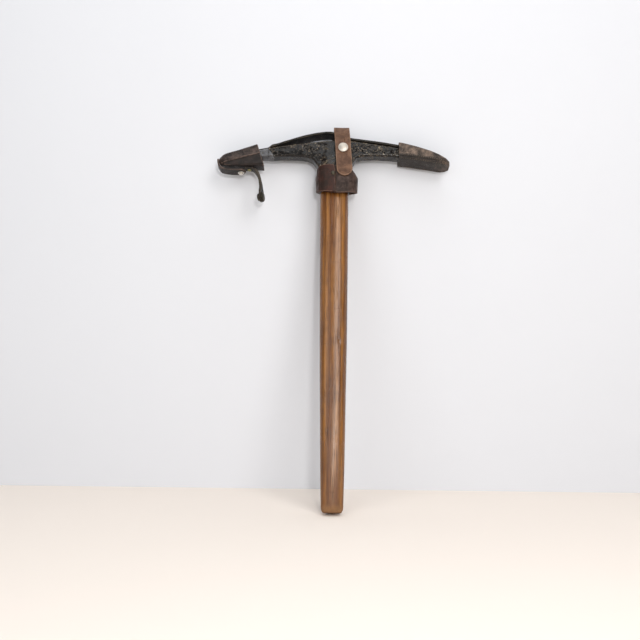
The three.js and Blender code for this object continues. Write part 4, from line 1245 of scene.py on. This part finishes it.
LEATHERS = {
    "leather_collar": ("collar", COLLAR_LEATHER, "collar_leather", "axe", 41),
    "connecting_leather": ("connecting_strap", DARK_LEATHER, "dark_leather", "axe", 42),
    "stud_tab_leather": ("stud_tab", DARK_LEATHER, "dark_leather", "axe", 43),
    "adze_sheath_shell": ("adze_sheath_upper", ADZE_LEATHER, "sheath_leather", "axe", 44),
    "adze_sheath_base": ("adze_sheath_sole", ADZE_LEATHER, "sheath_leather", "axe", 45),
    "pick_sheath_shell": ("pick_sheath", PICK_LEATHER, "sheath_leather", "pick_cover", 46),
    "pick_sheath_lip": (
        "pick_sheath_tongue",
        PICK_LEATHER,
        "sheath_leather",
        "sheath_tongue",
        47,
    ),
}
SEAMS = {
    "adze_sheath_shell": [adze_wall_seam],
    "adze_sheath_base": [adze_sole_seam],
    "pick_sheath_shell": [pick_back_seam],
}
FOLDS = {"pick_sheath_shell": pick_crease}
for leather_name, given in LEATHERS.items():
    seams = SEAMS.get(leather_name, ())
    make_leather(leather_name, *given, seams, FOLDS.get(leather_name))

FITTINGS = {
    "flap_snap_socket": (NICKEL, "nickel", "closing_flap"),
    "tab_snap_stud": (NICKEL, "nickel", "axe"),
    "tab_snap_post": (NICKEL, "nickel", "axe"),
    "tongue_snap_stud": (NICKEL, "nickel", "sheath_tongue"),
    "tongue_snap_post": (NICKEL, "nickel", "sheath_tongue"),
    "pick_strap_snap_cap": (BLACKENED, "brass_rivet", "snap_strap"),
    "pick_strap_snap_socket": (BLACKENED, "brass_rivet", "snap_strap"),
    "pick_strap_rivet": (BRASS, "brass_rivet", "pick_cover"),
    "collar_rivet": (BLACKENED, "brass_rivet", "axe"),
    "strap_back_rivet": (BRASS, "brass_rivet", "axe"),
    "socket_rivet_lower": (RIVET_STEEL, "plain_steel", "axe"),
    "socket_rivet_upper": (RIVET_STEEL, "plain_steel", "axe"),
}
for fitting, (metal, slot_name, carrier) in FITTINGS.items():
    make_fitting(fitting, metal, carrier)


# -------- stage, light, camera


def grounded(across, up, away):
    """A place given across the floor, up from it and away from the camera."""
    return FOOT + ACROSS * across + UP * up + AWAY * away


def backdrop(name, near, far, colour):
    """A plain sheet, seen only from its front, from its near edge's height and distance
    to its far edge's."""
    corners = [grounded(x, *near) for x in (-HALF_WIDTH, HALF_WIDTH)]
    corners += [grounded(x, *far) for x in (HALF_WIDTH, -HALF_WIDTH)]
    mesh = bpy.data.meshes.new(name)
    mesh.from_pydata(corners, [], [(0, 1, 2, 3)])
    obj = link(bpy.data.objects.new(name, mesh))
    f = Finish(name)
    t = f.tree
    cloud = clouds(t, f.place, 3.0, 2.0)
    tone = blend_colours(t, cloud, colour, [c * 0.97 for c in colour[:3]] + [1])
    f.set(Base_Color=tone, Roughness=0.8, Specular_IOR_Level=0.2)
    clear = add(t, "ShaderNodeBsdfTransparent").outputs[0]
    behind = add(t, "ShaderNodeNewGeometry").outputs["Backfacing"]
    choose = add(t, "ShaderNodeMixShader")
    put(t, behind, choose.inputs[0])
    put(t, f.shader.outputs[0], choose.inputs[1])
    put(t, clear, choose.inputs[2])
    out = next(n for n in t.nodes if n.type == "OUTPUT_MATERIAL")
    put(t, choose.outputs[0], out.inputs["Surface"])
    mesh.materials.append(f.material)


def soft_light(name, place, aim, size, power, colour):
    light = bpy.data.lights.new(name, "AREA")
    light.shape = "DISK"
    light.size = size
    light.energy = power
    light.color = colour
    obj = link(bpy.data.objects.new(name, light))
    obj.location = place
    obj.rotation_euler = (aim - place).to_track_quat("-Z", "Y").to_euler()


def lowest_foot():
    """The foot's lowest point as the axe leans, which is where the floor is."""
    heights = [v.co.dot(UP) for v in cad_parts["shaft"].data.vertices]
    return UP * min(heights)


def wall_distance():
    """How far from the foot the wall is: as far as the leaning axe reaches."""
    return max(
        v.co.dot(AWAY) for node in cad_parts.values() for v in node.data.vertices
    )


FOOT = lowest_foot()
WALL = wall_distance() - FOOT.dot(AWAY)
HALF_WIDTH, WALL_HEIGHT, FLOOR_FRONT = 1.6, 1.5, -2.0

backdrop("floor", (0, FLOOR_FRONT), (0, WALL), FLOOR_COLOUR)
backdrop("wall", (0, WALL), (WALL_HEIGHT, WALL), WALL_COLOUR)

HEAD_CENTRE = grounded(0, 0.47, 0.1)
for name, (place, size, power, colour) in LIGHTS.items():
    soft_light(name, grounded(*place), HEAD_CENTRE, size, power, colour)

world = bpy.data.worlds.new("studio")
world.use_nodes = True
sky = world.node_tree.nodes["Background"]
sky.inputs["Color"].default_value = SKY_COLOUR
sky.inputs["Strength"].default_value = SKY_STRENGTH
bpy.context.scene.world = world
bpy.context.scene.view_settings.view_transform = "Standard"

camera = bpy.data.cameras.new("camera")
camera.lens = CAMERA_LENS
camera.sensor_width = CAMERA_SENSOR
camera_object = link(bpy.data.objects.new("camera", camera))
camera_object.location = CAMERA_PLACE
facing = Matrix.Rotation(math.pi / 2 + LEAN, 4, "X") @ Matrix.Rotation(SIDEWAYS, 4, "Z")
camera_object.rotation_euler = facing.to_euler()
bpy.context.scene.camera = camera_object

bpy.context.view_layer.update()
